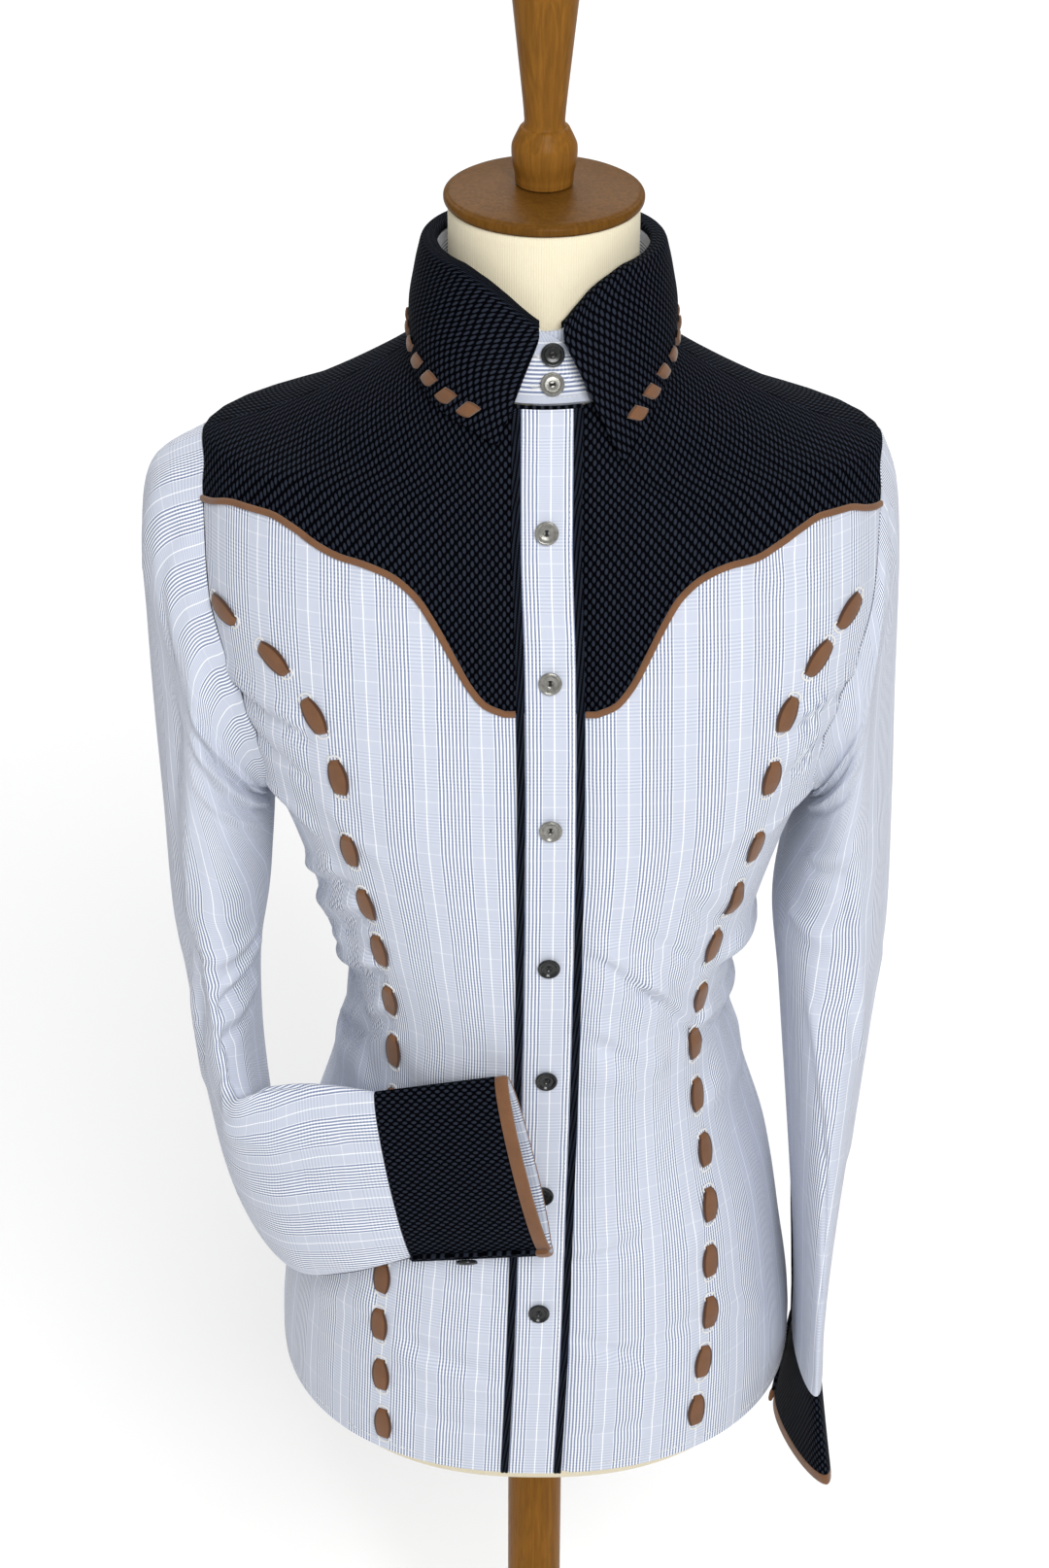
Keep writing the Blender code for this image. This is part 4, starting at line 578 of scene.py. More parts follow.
# ---------------------------------------------------------------- colours, linear
WHITE_COTTON = (0.915, 0.930, 0.950)
WARP_GREY = (0.300, 0.345, 0.480)  # what each passes of the white
WARP_LAVENDER = (0.665, 0.690, 0.765)
WEFT_ON_WHITE = (0.925, 0.935, 0.960)  # what the cross threads leave of what they cross
WEFT_ON_GREY = (0.540, 0.575, 0.680)
WEFT_ON_LAVENDER = (0.800, 0.820, 0.870)
DOBBY_GROUND = (0.0005, 0.0006, 0.0016)
DOBBY_SPOT = (0.0235, 0.0290, 0.0430)
SUEDE = (0.200, 0.092, 0.043)
SUEDE_EDGE = (0.050, 0.020, 0.011)
LINEN = (0.800, 0.735, 0.560)
WOOD = (0.200, 0.086, 0.013)
WOOD_DARK = (0.046, 0.016, 0.004)
WOOD_IOR = 1.16  # an oiled surface, with little shine
# One smoky shell in two copies: the first painted with a bright reflection, the second with a dark
# reflection.
SHELL_REFLECTION_LIT = (0.095, 0.093, 0.084)
SHELL_REFLECTION_DARK = (0.012, 0.0125, 0.013)
THREAD_WHITE = (0.850, 0.850, 0.840)
THREAD_BLACK = (0.006, 0.006, 0.009)

MILLIMETRES = 1000.0  # in a metre: the patterns are laid out in millimetres
# The check's repeat.
REPEAT_ACROSS, REPEAT_DOWN = 29.5, 33.5
WARP_GROUP, WEFT_GROUP = 17.1, 20.4  # widths of the groups of lines
WARP_PITCH, WEFT_PITCH = 1.90, 2.04
GREY_SHARE = 0.50  # of each pitch
FINE_LINE_HALF = 0.30  # of the white line in the middle of each plain band
WANDER = 0.55  # how far the threads stray
WEAVE_WAVES = 1.5  # of the plain weave to the millimetre: three threads


# ---------------------------------------------------------------- shape helpers
class Curve:
    """A smooth curve through two named columns of a table, with no overshoot."""

    def __init__(self, table, names, key, name):
        self.keys = np.array([row[names.index(key)] for row in table], float)
        self.values = np.array([row[names.index(name)] for row in table], float)
        steps = np.diff(self.values) / np.diff(self.keys)
        self.slopes = np.zeros(len(self.keys))
        self.slopes[0], self.slopes[-1] = steps[0], steps[-1]
        for i in range(1, len(steps)):
            if steps[i - 1] * steps[i] > 0:
                self.slopes[i] = 2 * steps[i - 1] * steps[i] / (steps[i - 1] + steps[i])

    def __call__(self, value):
        value = np.clip(np.asarray(value, float), self.keys[0], self.keys[-1])
        k = np.clip(np.searchsorted(self.keys, value, side="right") - 1, 0, len(self.keys) - 2)
        span = self.keys[k + 1] - self.keys[k]
        t = (value - self.keys[k]) / span
        return (
            self.values[k] * (2 * t**3 - 3 * t**2 + 1)
            + self.slopes[k] * span * (t**3 - 2 * t**2 + t)
            + self.values[k + 1] * (3 * t**2 - 2 * t**3)
            + self.slopes[k + 1] * span * (t**3 - t**2)
        )


BODY = {name: Curve(BODY_SECTIONS, BODY_COLUMNS, "drop", name) for name in BODY_COLUMNS[1:]}
PLACKET_X = Curve(PLACKET_LINE, PLACKET_COLUMNS, "drop", "x")
GATHERED = Curve(GATHER, GATHER_COLUMNS, "drop", "share")


def unit(vectors):
    return vectors / np.maximum(np.linalg.norm(vectors, axis=-1, keepdims=True), 1e-12)


def run_lengths(points):
    """Lengths along a line of points, from the first of them."""
    steps = np.linalg.norm(np.diff(points, axis=0), axis=-1)
    return np.concatenate([[0], np.cumsum(steps)])


def between(places, keys, rows):
    """Rows of x, y and z, read at some places between their keys."""
    return np.stack([np.interp(places, keys, rows[:, k]) for k in range(3)], axis=-1)


def signed_power(value, power):
    return np.sign(value) * np.abs(value) ** power


def base(angle, drop):
    """Points of the shirt's body without its folds."""
    angle, drop = np.broadcast_arrays(np.asarray(angle, float), np.asarray(drop, float))
    a = np.radians(angle)
    front = np.cos(a) >= -1e-12
    depth = np.where(front, BODY["front"](drop), BODY["back"](drop))
    power = 2 / np.where(front, BODY["square_front"](drop), BODY["square_back"](drop))
    x = BODY["half"](drop) * signed_power(np.sin(a), power)
    y = -depth * signed_power(np.cos(a), power)
    return np.stack([x, y, NECK_TOP - drop], axis=-1)


def body_normal(angle, drop):
    angle, drop = np.asarray(angle, float), np.asarray(drop, float)
    across = base(angle + 0.5, drop) - base(angle - 0.5, drop)
    down = base(angle, drop + 0.002) - base(angle, drop - 0.002)
    return unit(np.cross(down, across))


def soft(distance, reach):
    """1 at no distance, dying away smoothly to 0 at the reach."""
    return (1 - np.minimum(1, np.abs(distance) / reach) ** 2) ** 2


def folds(table, x, y, per_x, per_y, fade):
    """Height of some folds at (x, y). x is in degrees, and the pers are metres to each."""
    height = np.zeros(np.broadcast(x, y).shape)
    for row in table:
        fold = dict(zip(FOLD_COLUMNS, row))
        run_x, run_y = (fold["to_x"] - fold["x"]) * per_x, (fold["to_y"] - fold["y"]) * per_y
        dx = ((x - fold["x"] + 180) % 360 - 180) * per_x
        dy = (y - fold["y"]) * per_y
        length = math.hypot(run_x, run_y)
        along = (dx * run_x + dy * run_y) / length
        aside = (dx * run_y - dy * run_x) / length
        past = np.maximum(0, np.maximum(-along, along - length))
        height = height + fold["height"] * soft(aside, fold["half_width"]) * soft(past, fade)
    return height


def body(angle, drop, lift=0.0):
    """Points of the shirt's body, and their normals, a little above the cloth."""
    angle, drop = np.broadcast_arrays(np.asarray(angle, float), np.asarray(drop, float))
    turned = np.abs((angle + 180) % 360 - 180)
    height = folds(BODY_FOLDS, turned, drop, METRES_PER_DEGREE, 1.0, FOLD_END)
    height = height + BODY_CREASE_LIFT * folds(BODY_CREASES, angle, drop, METRES_PER_DEGREE,
                                               1.0, CREASE_END)
    n = body_normal(angle, drop)
    return base(angle, drop) + n * (height + lift)[..., None], n


def angle_at_depth(front, drop):
    facing_front = front >= 0
    depth = np.where(facing_front, BODY["front"](drop), BODY["back"](drop))
    square = np.where(facing_front, BODY["square_front"](drop), BODY["square_back"](drop))
    share = np.minimum(1.0, np.abs(front) / depth)
    turn = np.degrees(np.arccos(share ** (square / 2)))
    return np.where(facing_front, turn, 180 - turn)


def angle_at_x(x, drop):
    share = np.minimum(1.0, np.abs(x) / BODY["half"](drop))
    return np.sign(x) * np.degrees(np.arcsin(share ** (BODY["square_front"](drop) / 2)))


def armhole():
    """(angle, drop) round the left armhole, from its top down the front and back up."""
    k = np.arange(FINE_SIDES)
    turn = 360.0 * k / FINE_SIDES
    middle, reach = (ARMHOLE_TOP + ARMHOLE_BOTTOM) / 2, (ARMHOLE_BOTTOM - ARMHOLE_TOP) / 2
    drop = middle - reach * np.cos(np.radians(turn))
    near = np.minimum(turn, 360 - turn)
    front = Curve(ARMHOLE_DEPTH, ARMHOLE_COLUMNS, "degrees", "front")(near)
    back = Curve(ARMHOLE_DEPTH, ARMHOLE_COLUMNS, "degrees", "back")(near)
    deep = np.where(turn <= 180, front, -back)
    angle = np.where(np.abs(deep) < 1e-9, 90.0, angle_at_depth(deep, drop))
    return np.stack([angle, drop], axis=-1)


def patch(top, bottom, inner, outer, shares):
    """A grid of (angle, drop) filled between four edges that share their corners."""
    v = np.linspace(0, 1, len(inner))[:, None, None]
    u = np.asarray(shares)[None, :, None]
    corners = ((1 - u) * (1 - v) * top[0] + u * (1 - v) * top[-1]
               + (1 - u) * v * bottom[0] + u * v * bottom[-1])
    return ((1 - v) * top[None] + v * bottom[None]
            + (1 - u) * inner[:, None] + u * outer[:, None] - corners)


def neck_seam(angle):
    turn = np.abs((np.asarray(angle, float) + 180) % 360 - 180)
    level = 90 * np.maximum(0.0, turn - LEVEL_FRONT) / (90 - LEVEL_FRONT)
    turn = np.where(turn < 90, level, turn)
    share = np.cos(np.radians(turn))
    ends = np.where(share >= 0, NECK_SEAM_FRONT, NECK_SEAM_BACK)
    return NECK_SEAM_SIDE + (ends - NECK_SEAM_SIDE) * share**2


def hem(angle):
    turn = np.cos(np.radians(angle))
    ends = np.where(turn >= 0, HEM_FRONT, HEM_BACK)
    return HEM_SIDE + (ends - HEM_SIDE) * turn**2


def pairs(angles, drops):
    angles, drops = np.broadcast_arrays(np.asarray(angles, float), np.asarray(drops, float))
    return np.stack([angles, drops], axis=-1)


def front_patches(side):
    """The yoke's and the lower front's fine grids, centre out to the side."""
    loop = armhole()
    start, reach = YOKE_FRONT_EDGE[0][0], YOKE_FRONT_EDGE[-1][0]
    edge = Curve(YOKE_FRONT_EDGE, YOKE_FRONT_COLUMNS, "from_placket", "drop")
    out = np.linspace(start, reach, FRONT_COLUMNS + 1)
    drops = edge(out)

    def inner(d):
        return pairs(angle_at_x(side * PLACKET_X(d) + start, d), d)

    seam = pairs(angle_at_x(side * PLACKET_X(drops) + out, drops), drops)
    eased = out[-EASE_COLUMNS]
    ease = (np.clip((out - eased) / (out[-1] - eased), 0, 1) ** 2)[:, None]
    seam = seam + ease * (loop[FRONT_YOKE_STEPS] - seam[-1])
    shares = (seam[:, 0] - seam[0, 0]) / (seam[-1, 0] - seam[0, 0])

    first = inner(np.array([NECK_SEAM_FRONT]))[0, 0]
    top = first + (90 - first) * shares
    top = pairs(top, neck_seam(top))
    ridge = pairs(90.0, np.linspace(neck_seam(90), ARMHOLE_TOP, RIDGE_STEPS + 1))
    side_edge = np.concatenate([ridge, loop[1:FRONT_YOKE_STEPS + 1]])
    yoke = patch(top, seam, inner(np.linspace(top[0, 1], seam[0, 1], len(side_edge))),
                 side_edge, shares)

    arm = loop[FRONT_YOKE_STEPS:FINE_SIDES // 2 + 1]
    skirt = pairs(90.0, np.linspace(ARMHOLE_BOTTOM, HEM_SIDE, SKIRT_STEPS + 1))[1:]
    side_edge = np.concatenate([arm, skirt])
    first = inner(np.array([HEM_FRONT]))[0, 0]
    bottom = first + (90 - first) * shares
    bottom = pairs(bottom, hem(bottom))
    front = patch(seam, bottom, inner(np.linspace(seam[0, 1], bottom[0, 1], len(side_edge))),
                  side_edge, shares)
    return yoke, front


def back_patches():
    """The back yoke's and the back's fine grids, centre out to the side."""
    loop = armhole()
    shares = np.linspace(0, 1, BACK_HALF_COLUMNS + 1)
    centre = YOKE_BACK_EDGE[0][1]
    junction = loop[-BACK_YOKE_STEPS]
    edge = Curve(YOKE_BACK_EDGE, YOKE_COLUMNS, "share", "drop")
    seam = pairs(180 + (junction[0] - 180) * shares, edge(shares))
    top = pairs(180 - 90 * shares, neck_seam(180 - 90 * shares))
    ridge = pairs(90.0, np.linspace(neck_seam(90), ARMHOLE_TOP, RIDGE_STEPS + 1))
    side_edge = np.concatenate([ridge, loop[-1:-BACK_YOKE_STEPS - 1:-1]])
    centre_edge = pairs(180.0, np.linspace(NECK_SEAM_BACK, centre, len(side_edge)))
    yoke = patch(top, seam, centre_edge, side_edge, shares)

    arm = loop[FINE_SIDES // 2:FINE_SIDES - BACK_YOKE_STEPS + 1][::-1]
    skirt = pairs(90.0, np.linspace(ARMHOLE_BOTTOM, HEM_SIDE, SKIRT_STEPS + 1))[1:]
    side_edge = np.concatenate([arm, skirt])
    bottom = pairs(180 - 90 * shares, hem(180 - 90 * shares))
    centre_edge = pairs(180.0, np.linspace(centre, HEM_BACK, len(side_edge)))
    back = patch(seam, bottom, centre_edge, side_edge, shares)
    return yoke, back


# ---------------------------------------------------------------- the cloth's own lengths
ANGLES = np.arange(-180.0, 181.0, 1.0)
DROP_STEP = 0.003
DROPS = np.arange(0.036, 0.790, DROP_STEP)
MID_ANGLE = 35.0  # where the lengths down the fronts are taken


def lengths_over_body():
    """Lengths round from the front and down from the top, at every angle and drop."""
    points = base(ANGLES[None, :], DROPS[:, None])
    across = np.linalg.norm(np.diff(points, axis=1), axis=-1)
    around = np.concatenate([np.zeros((len(DROPS), 1)), np.cumsum(across, axis=1)], axis=1)
    around -= around[:, 180:181]  # the front's own column
    down = np.linalg.norm(np.diff(points, axis=0), axis=-1)
    down = np.concatenate([np.zeros((1, len(ANGLES))), np.cumsum(down, axis=0)], axis=0)
    return around, down


AROUND, DOWN = lengths_over_body()


def sample(grid, angle, drop):
    """A value of a grid over the body, between its points."""
    a = np.clip(np.asarray(angle, float) + 180, 0, 359.999)
    d = np.clip((np.asarray(drop, float) - DROPS[0]) / DROP_STEP, 0, len(DROPS) - 1.001)
    i, j = d.astype(int), a.astype(int)
    fi, fj = d - i, a - j
    return ((1 - fi) * ((1 - fj) * grid[i, j] + fj * grid[i, j + 1])
            + fi * ((1 - fj) * grid[i + 1, j] + fj * grid[i + 1, j + 1]))


def down_middle(drop):
    return sample(DOWN, np.full(np.shape(drop), MID_ANGLE), drop)


# Where the first stripe group begins on each front, out from the placket's middle.
STRIPES_START = {1: 0.0178, -1: 0.0112}


def front_uv(angle, drop, side):
    """Lengths along the cloth from the placket out, and down. The angle is signed."""
    middle = angle_at_x(PLACKET_X(drop), drop)
    u = (sample(AROUND, angle, drop) - sample(AROUND, middle, drop)) * side
    u = u / GATHERED(drop) - STRIPES_START[side]
    return np.stack([u, down_middle(drop)], axis=-1)


def yoke_uv(angle, drop):
    return np.stack([sample(AROUND, angle, drop), sample(DOWN, angle, drop)], axis=-1)


def back_uv(angle, drop, straight):
    """The same over the back, from its middle. Angles run from 90 to 270."""
    near = np.minimum(angle, 360 - angle)
    u = sample(AROUND, np.full(np.shape(drop), 180.0), drop) - sample(AROUND, near, drop)
    u = np.where(angle <= 180, -u, u)
    v = down_middle(drop) if straight else sample(DOWN, near, drop)
    return np.stack([u, v], axis=-1)


# ---------------------------------------------------------------- shading helpers
class Nodes:
    """Writes arithmetic as shader nodes."""

    def __init__(self, tree):
        self.tree = tree

    def node(self, kind, **settings):
        made = self.tree.nodes.new(kind)
        for key, value in settings.items():
            setattr(made, key, value)
        return made

    def put(self, socket, value):
        if isinstance(value, Value):
            self.tree.links.new(value.socket, socket)
        elif hasattr(value, "is_output"):
            self.tree.links.new(value, socket)
        elif isinstance(value, (tuple, list)) and len(value) == 3 and len(
                getattr(socket, "default_value", (0, 0, 0))) == 4:
            socket.default_value = (*value, 1.0)
        else:
            socket.default_value = value

    def math(self, operation, *values):
        made = self.node("ShaderNodeMath", operation=operation)
        for socket, value in zip(made.inputs, values):
            self.put(socket, value)
        return Value(self, made.outputs[0])

    def step_down(self, value, low, high):
        """1 where the value is under low, falling smoothly to 0 at high."""
        made = self.node("ShaderNodeMapRange", interpolation_type="SMOOTHSTEP")
        for name, setting in (("Value", value), ("From Min", low), ("From Max", high),
                              ("To Min", 1.0), ("To Max", 0.0)):
            self.put(made.inputs[name], setting)
        return Value(self, made.outputs["Result"])

    def mix(self, factor, a, b, blend="MIX"):
        made = self.node("ShaderNodeMix", data_type="RGBA", blend_type=blend)
        self.put(made.inputs[0], factor)
        self.put(made.inputs[6], a)
        self.put(made.inputs[7], b)
        return made.outputs[2]

    def noise(self, vector, scale, detail=2.0, roughness=0.5, distortion=0.0):
        made = self.node("ShaderNodeTexNoise")
        self.put(made.inputs["Vector"], vector)
        for name, value in (("Scale", scale), ("Detail", detail), ("Roughness", roughness),
                            ("Distortion", distortion)):
            made.inputs[name].default_value = value
        return Value(self, made.outputs["Fac"])

    def stretch(self, vector, scale):
        made = self.node("ShaderNodeMapping")
        self.put(made.inputs["Vector"], vector)
        made.inputs["Scale"].default_value = scale
        return made.outputs["Vector"]

    def bump(self, height, distance, strength=1.0, normal=None):
        made = self.node("ShaderNodeBump")
        made.inputs["Distance"].default_value = distance
        made.inputs["Strength"].default_value = strength
        self.put(made.inputs["Height"], height)
        if normal is not None:
            self.put(made.inputs["Normal"], normal)
        return made.outputs["Normal"]


class Value:
    def __init__(self, nodes, socket):
        self.nodes, self.socket = nodes, socket

    def __add__(self, other):
        return self.nodes.math("ADD", self, other)

    def __radd__(self, other):
        return self.nodes.math("ADD", other, self)

    def __sub__(self, other):
        return self.nodes.math("SUBTRACT", self, other)

    def __rsub__(self, other):
        return self.nodes.math("SUBTRACT", other, self)

    def __mul__(self, other):
        return self.nodes.math("MULTIPLY", self, other)

    def __rmul__(self, other):
        return self.nodes.math("MULTIPLY", other, self)

    def __truediv__(self, other):
        return self.nodes.math("DIVIDE", self, other)

    def __neg__(self):
        return self.nodes.math("MULTIPLY", self, -1.0)

    def fract(self):
        return self.nodes.math("FRACT", self)

    def floor(self):
        return self.nodes.math("FLOOR", self)

    def size(self):
        return self.nodes.math("ABSOLUTE", self)

    def sin(self):
        return self.nodes.math("SINE", self)

    def root(self):
        return self.nodes.math("SQRT", self)

    def top(self, other):
        return self.nodes.math("MAXIMUM", self, other)

    def low(self, other):
        return self.nodes.math("MINIMUM", self, other)


def begin(name, roughness, colour, metallic=0.0, sheen=0.0, coat=0.0, specular=0.5):
    """A material, its nodes and shader, and its places: lengths u and v in millimetres."""
    made = bpy.data.materials.new(name)
    made.use_nodes = True
    nodes = Nodes(made.node_tree)
    shader = made.node_tree.nodes["Principled BSDF"]
    shader.inputs["Base Color"].default_value = (*colour, 1.0)
    shader.inputs["Roughness"].default_value = roughness
    shader.inputs["Metallic"].default_value = metallic
    shader.inputs["Sheen Weight"].default_value = sheen
    shader.inputs["Sheen Roughness"].default_value = 0.5
    shader.inputs["Coat Weight"].default_value = coat
    shader.inputs["Coat Roughness"].default_value = 0.15
    shader.inputs["Specular IOR Level"].default_value = specular
    made.diffuse_color = (*colour, 1.0)
    place = nodes.node("ShaderNodeTexCoord")
    parts = nodes.node("ShaderNodeSeparateXYZ")
    nodes.tree.links.new(place.outputs["UV"], parts.inputs[0])
    u = Value(nodes, parts.outputs[0]) * MILLIMETRES
    v = Value(nodes, parts.outputs[1]) * MILLIMETRES
    return made, nodes, shader, place, u, v


def plaid_material(name, shift=0.0, dim=1.0):
    """Glen check: groups of fine grey lines on white, and lavender bands between."""
    made, nodes, shader, place, u, v = begin(name, 0.78, (0.70, 0.73, 0.84), sheen=0.12,
                                             specular=0.25)
    # the threads wander a little
    wander = nodes.noise(place.outputs["Object"], 55.0, 2.0)
    u = u + (wander - 0.5) * WANDER + shift
    wander = nodes.noise(place.outputs["Object"], 47.0, 2.0)
    v = v + (wander - 0.5) * WANDER

    def threads(length, repeat, width, pitch, blur):
        t = (length / repeat).fract() * repeat
        group = nodes.step_down(t, width - 0.05, width + 0.05)
        inside = (t / pitch).fract() * pitch
        half = pitch * GREY_SHARE / 2
        line = nodes.step_down((inside - pitch / 2).size(), half - blur, half + blur)
        fine = nodes.step_down((t - (repeat + width) / 2).size(), FINE_LINE_HALF - 0.12,
                               FINE_LINE_HALF + 0.12)
        return group * line, (1.0 - group) * (1.0 - fine), (1.0 - group) * fine

    grey, lavender, _ = threads(u, REPEAT_ACROSS, WARP_GROUP, WARP_PITCH, 0.10)
    cross, between, pick = threads(v, REPEAT_DOWN, WEFT_GROUP, WEFT_PITCH, 0.14)
    colour = nodes.mix(grey, (1.0, 1.0, 1.0), WARP_GREY)
    colour = nodes.mix(lavender, colour, WARP_LAVENDER)
    passed = nodes.mix(grey, WEFT_ON_WHITE, WEFT_ON_GREY)
    passed = nodes.mix(lavender, passed, WEFT_ON_LAVENDER)
    # between its groups the weft is as deep all over as the groups are on average
    colour = nodes.mix(cross + between * GREY_SHARE, colour,
                       nodes.mix(1.0, colour, passed, "MULTIPLY"))
    colour = nodes.mix(lavender * pick * 0.22, colour, (1.0, 1.0, 1.0))
    # dim under 1 darkens a copy of the cloth: painted shade
    colour = nodes.mix(1.0, colour, tuple(c * dim for c in WHITE_COTTON), "MULTIPLY")
    weave = (u * (2 * math.pi * WEAVE_WAVES)).sin() * (v * (2 * math.pi * WEAVE_WAVES)).sin()
    shade = nodes.noise(place.outputs["Object"], 9.0, 3.0)
    colour = nodes.mix((shade - 0.35).top(0.0) * 0.14, colour, (0.62, 0.66, 0.80))
    nodes.put(shader.inputs["Base Color"], colour)
    rumple = nodes.noise(place.outputs["Object"], 70.0, 3.0, 0.55)
    normal = nodes.bump(rumple, 0.0011, 0.55)
    nodes.put(shader.inputs["Normal"], nodes.bump(weave, 0.00006, 0.5, normal))
    return made


def dobby_material(name, across=4.1, down=5.5, spot=1.0, lean=0.0):
    """Near-black cloth with staggered raised ovals."""
    made, nodes, shader, place, u, v = begin(name, 0.70, DOBBY_SPOT, sheen=0.0, specular=0.015)
    wander = nodes.noise(place.outputs["Object"], 60.0, 2.0)
    u = u + (wander - 0.5) * 0.5
    v = v + (wander - 0.5) * 0.5

    if lean:
        u = u + v * lean

    def ovals(a, b):
        x = ((a / across + 0.5).fract() - 0.5) * 3.6
        y = ((b / down + 0.5).fract() - 0.5) * 2.75
        return (x * x + y * y).root()

    near = ovals(u, v).low(ovals(u + across / 2, v + down / 2))
    oval = nodes.step_down(near, 0.50, 0.98)
    ribs = ((v + u * 0.35) * (2 * math.pi / 0.62)).sin() * 0.5 + 0.5
    vary = nodes.noise(place.outputs["Object"], 380.0, 2.0)
    strength = oval * (0.42 + ribs * 0.30 + vary * 0.62) * spot
    colour = nodes.mix(strength, DOBBY_GROUND, DOBBY_SPOT)
    nodes.put(shader.inputs["Base Color"], colour)
    nodes.put(shader.inputs["Normal"], nodes.bump(oval + ribs * 0.12, 0.00030, 0.8))
    return made


def suede_material(name, edges=0.0, half=5.0):
    """Brown nap, with a darker dyed edge where edges is over 0."""
    made, nodes, shader, place, _, v = begin(name, 0.92, SUEDE, sheen=0.25, specular=0.15)
    nap = nodes.noise(place.outputs["Object"], 900.0, 4.0, 0.65)
    cloud = nodes.noise(place.outputs["Object"], 90.0, 3.0)
    colour = nodes.mix(cloud, tuple(c * 0.70 for c in SUEDE), tuple(c * 1.22 for c in SUEDE))
    colour = nodes.mix(nap * 0.45, colour, tuple(c * 0.55 for c in SUEDE))
    if edges:
        rim = 1.0 - nodes.step_down(v.size(), half * 0.80, half * 0.98)
        colour = nodes.mix(rim * edges, colour, SUEDE_EDGE)
    nodes.put(shader.inputs["Base Color"], colour)
    normal = nodes.bump(cloud, 0.0006, 0.4)
    nodes.put(shader.inputs["Normal"], nodes.bump(nap, 0.00022, 0.6, normal))
    return made


def linen_material():
    made, nodes, shader, place, u, v = begin("form_linen", 0.85, LINEN, sheen=0.10,
                                             specular=0.25)
    rib = (u * (2 * math.pi / 1.25)).sin() * 0.5 + 0.5
    slub = nodes.noise(nodes.stretch(place.outputs["Object"], (1.0, 1.0, 0.12)), 900.0, 2.0)
    cloud = nodes.noise(place.outputs["Object"], 14.0, 3.0)
    colour = nodes.mix(rib * 0.40 + slub * 0.25, tuple(c * 1.06 for c in LINEN),
                       tuple(c * s for c, s in zip(LINEN, (0.86, 0.83, 0.78))))
    colour = nodes.mix(cloud * 0.18, colour, (0.70, 0.60, 0.40))
    nodes.put(shader.inputs["Base Color"], colour)
    cross = (v * (2 * math.pi / 0.9)).sin()
    nodes.put(shader.inputs["Normal"],
              nodes.bump(rib + slub * 0.7 + cross * 0.15, 0.00018, 0.5))
    return made


def wood_material(name, deep=1.0):
    made, nodes, shader, place, _, _ = begin(name, 0.40, WOOD, specular=0.30)
    shader.inputs["IOR"].default_value = WOOD_IOR
    grain = nodes.noise(nodes.stretch(place.outputs["Object"], (9.0, 9.0, 1.1)), 9.0, 5.0,
                        0.6, 1.2)
    fine = nodes.noise(nodes.stretch(place.outputs["Object"], (60.0, 60.0, 3.0)), 9.0, 3.0)
    streak = (grain * 34.0).sin() * 0.5 + 0.5
    colour = nodes.mix(streak * 0.55, tuple(c * 1.45 for c in WOOD), WOOD)
    colour = nodes.mix(fine * 0.55, colour, WOOD_DARK)
    # deep under 1 darkens a copy of the wood: painted shade, for the neck cap
    colour = nodes.mix(1.0, colour, (deep, deep, deep), "MULTIPLY")
    nodes.put(shader.inputs["Base Color"], colour)
    rough = fine * 0.14 + 0.28
    nodes.put(shader.inputs["Roughness"], rough)
    nodes.put(shader.inputs["Normal"], nodes.bump(fine, 0.00005, 0.25))
    return made


def button_material(name, colour, highlight_gain):
    made, nodes, shader, place, u, v = begin(name, 0.16, colour, metallic=0.3, coat=0.25,
                                             specular=0.30)
    # The swirl runs from under half the colour up to several times it: partly the shell's own
    # swirl, partly painted highlight and reflection.
    swirl = nodes.noise(place.outputs["Object"], 190.0, 4.0, 0.6, 2.4)
    colour = nodes.mix(swirl, tuple(c * 0.45 for c in colour),
                       tuple(min(1.0, c * highlight_gain) for c in colour))
    nodes.put(shader.inputs["Base Color"], colour)
    nodes.put(shader.inputs["Roughness"], swirl * 0.14 + 0.10)
    turning = ((u * u + v * v).root() * (2 * math.pi / 0.35)).sin()
    nodes.put(shader.inputs["Normal"], nodes.bump(turning, 0.00003, 0.25))
    return made


def thread_material(name, colour):
    made, nodes, shader, _, u, v = begin(name, 0.65, colour, sheen=0.15, specular=0.3)
    twist = ((u * 1.0 + v * 1.6) * (2 * math.pi / 0.42)).sin() * 0.5 + 0.5
    nodes.put(shader.inputs["Base Color"],
              nodes.mix(twist * 0.35, colour, tuple(c * 0.6 for c in colour)))
    nodes.put(shader.inputs["Normal"], nodes.bump(twist, 0.00006, 0.7))
    return made


def floor_material():
    made, nodes, shader, place, _, _ = begin("pale_floor", 0.9, (0.90, 0.90, 0.90),
                                             specular=0.1)
    tone = nodes.noise(place.outputs["Object"], 0.8, 2.0)
    nodes.put(shader.inputs["Base Color"],
              nodes.mix(tone * 0.3, (0.92, 0.92, 0.92), (0.88, 0.88, 0.885)))
    return made


PLAID = plaid_material("plaid")
# the plaid with its stripes shifted and dimmed to 0.86, for the insides of the cuffs: painted
# shade
PLAID_INSIDE_SHADED = plaid_material("plaid_inside_shaded", 4.0, 0.86)
DOBBY = dobby_material("dobby")
DOBBY_FINE = dobby_material("dobby_folded", 2.0, 2.9, 1.5, 0.8)
SUEDE_BAND = suede_material("suede_band")
SUEDE_LACE = suede_material("suede_lace", 0.85, 4.9)
SUEDE_LACE_SMALL = suede_material("suede_lace_small", 0.45, 3.9)
LINEN_COVER = linen_material()
STAINED = wood_material("stained_wood")
# the neck cap's copy, darkened to 0.62: painted shade
STAINED_SHADED = wood_material("stained_wood_shaded", 0.62)
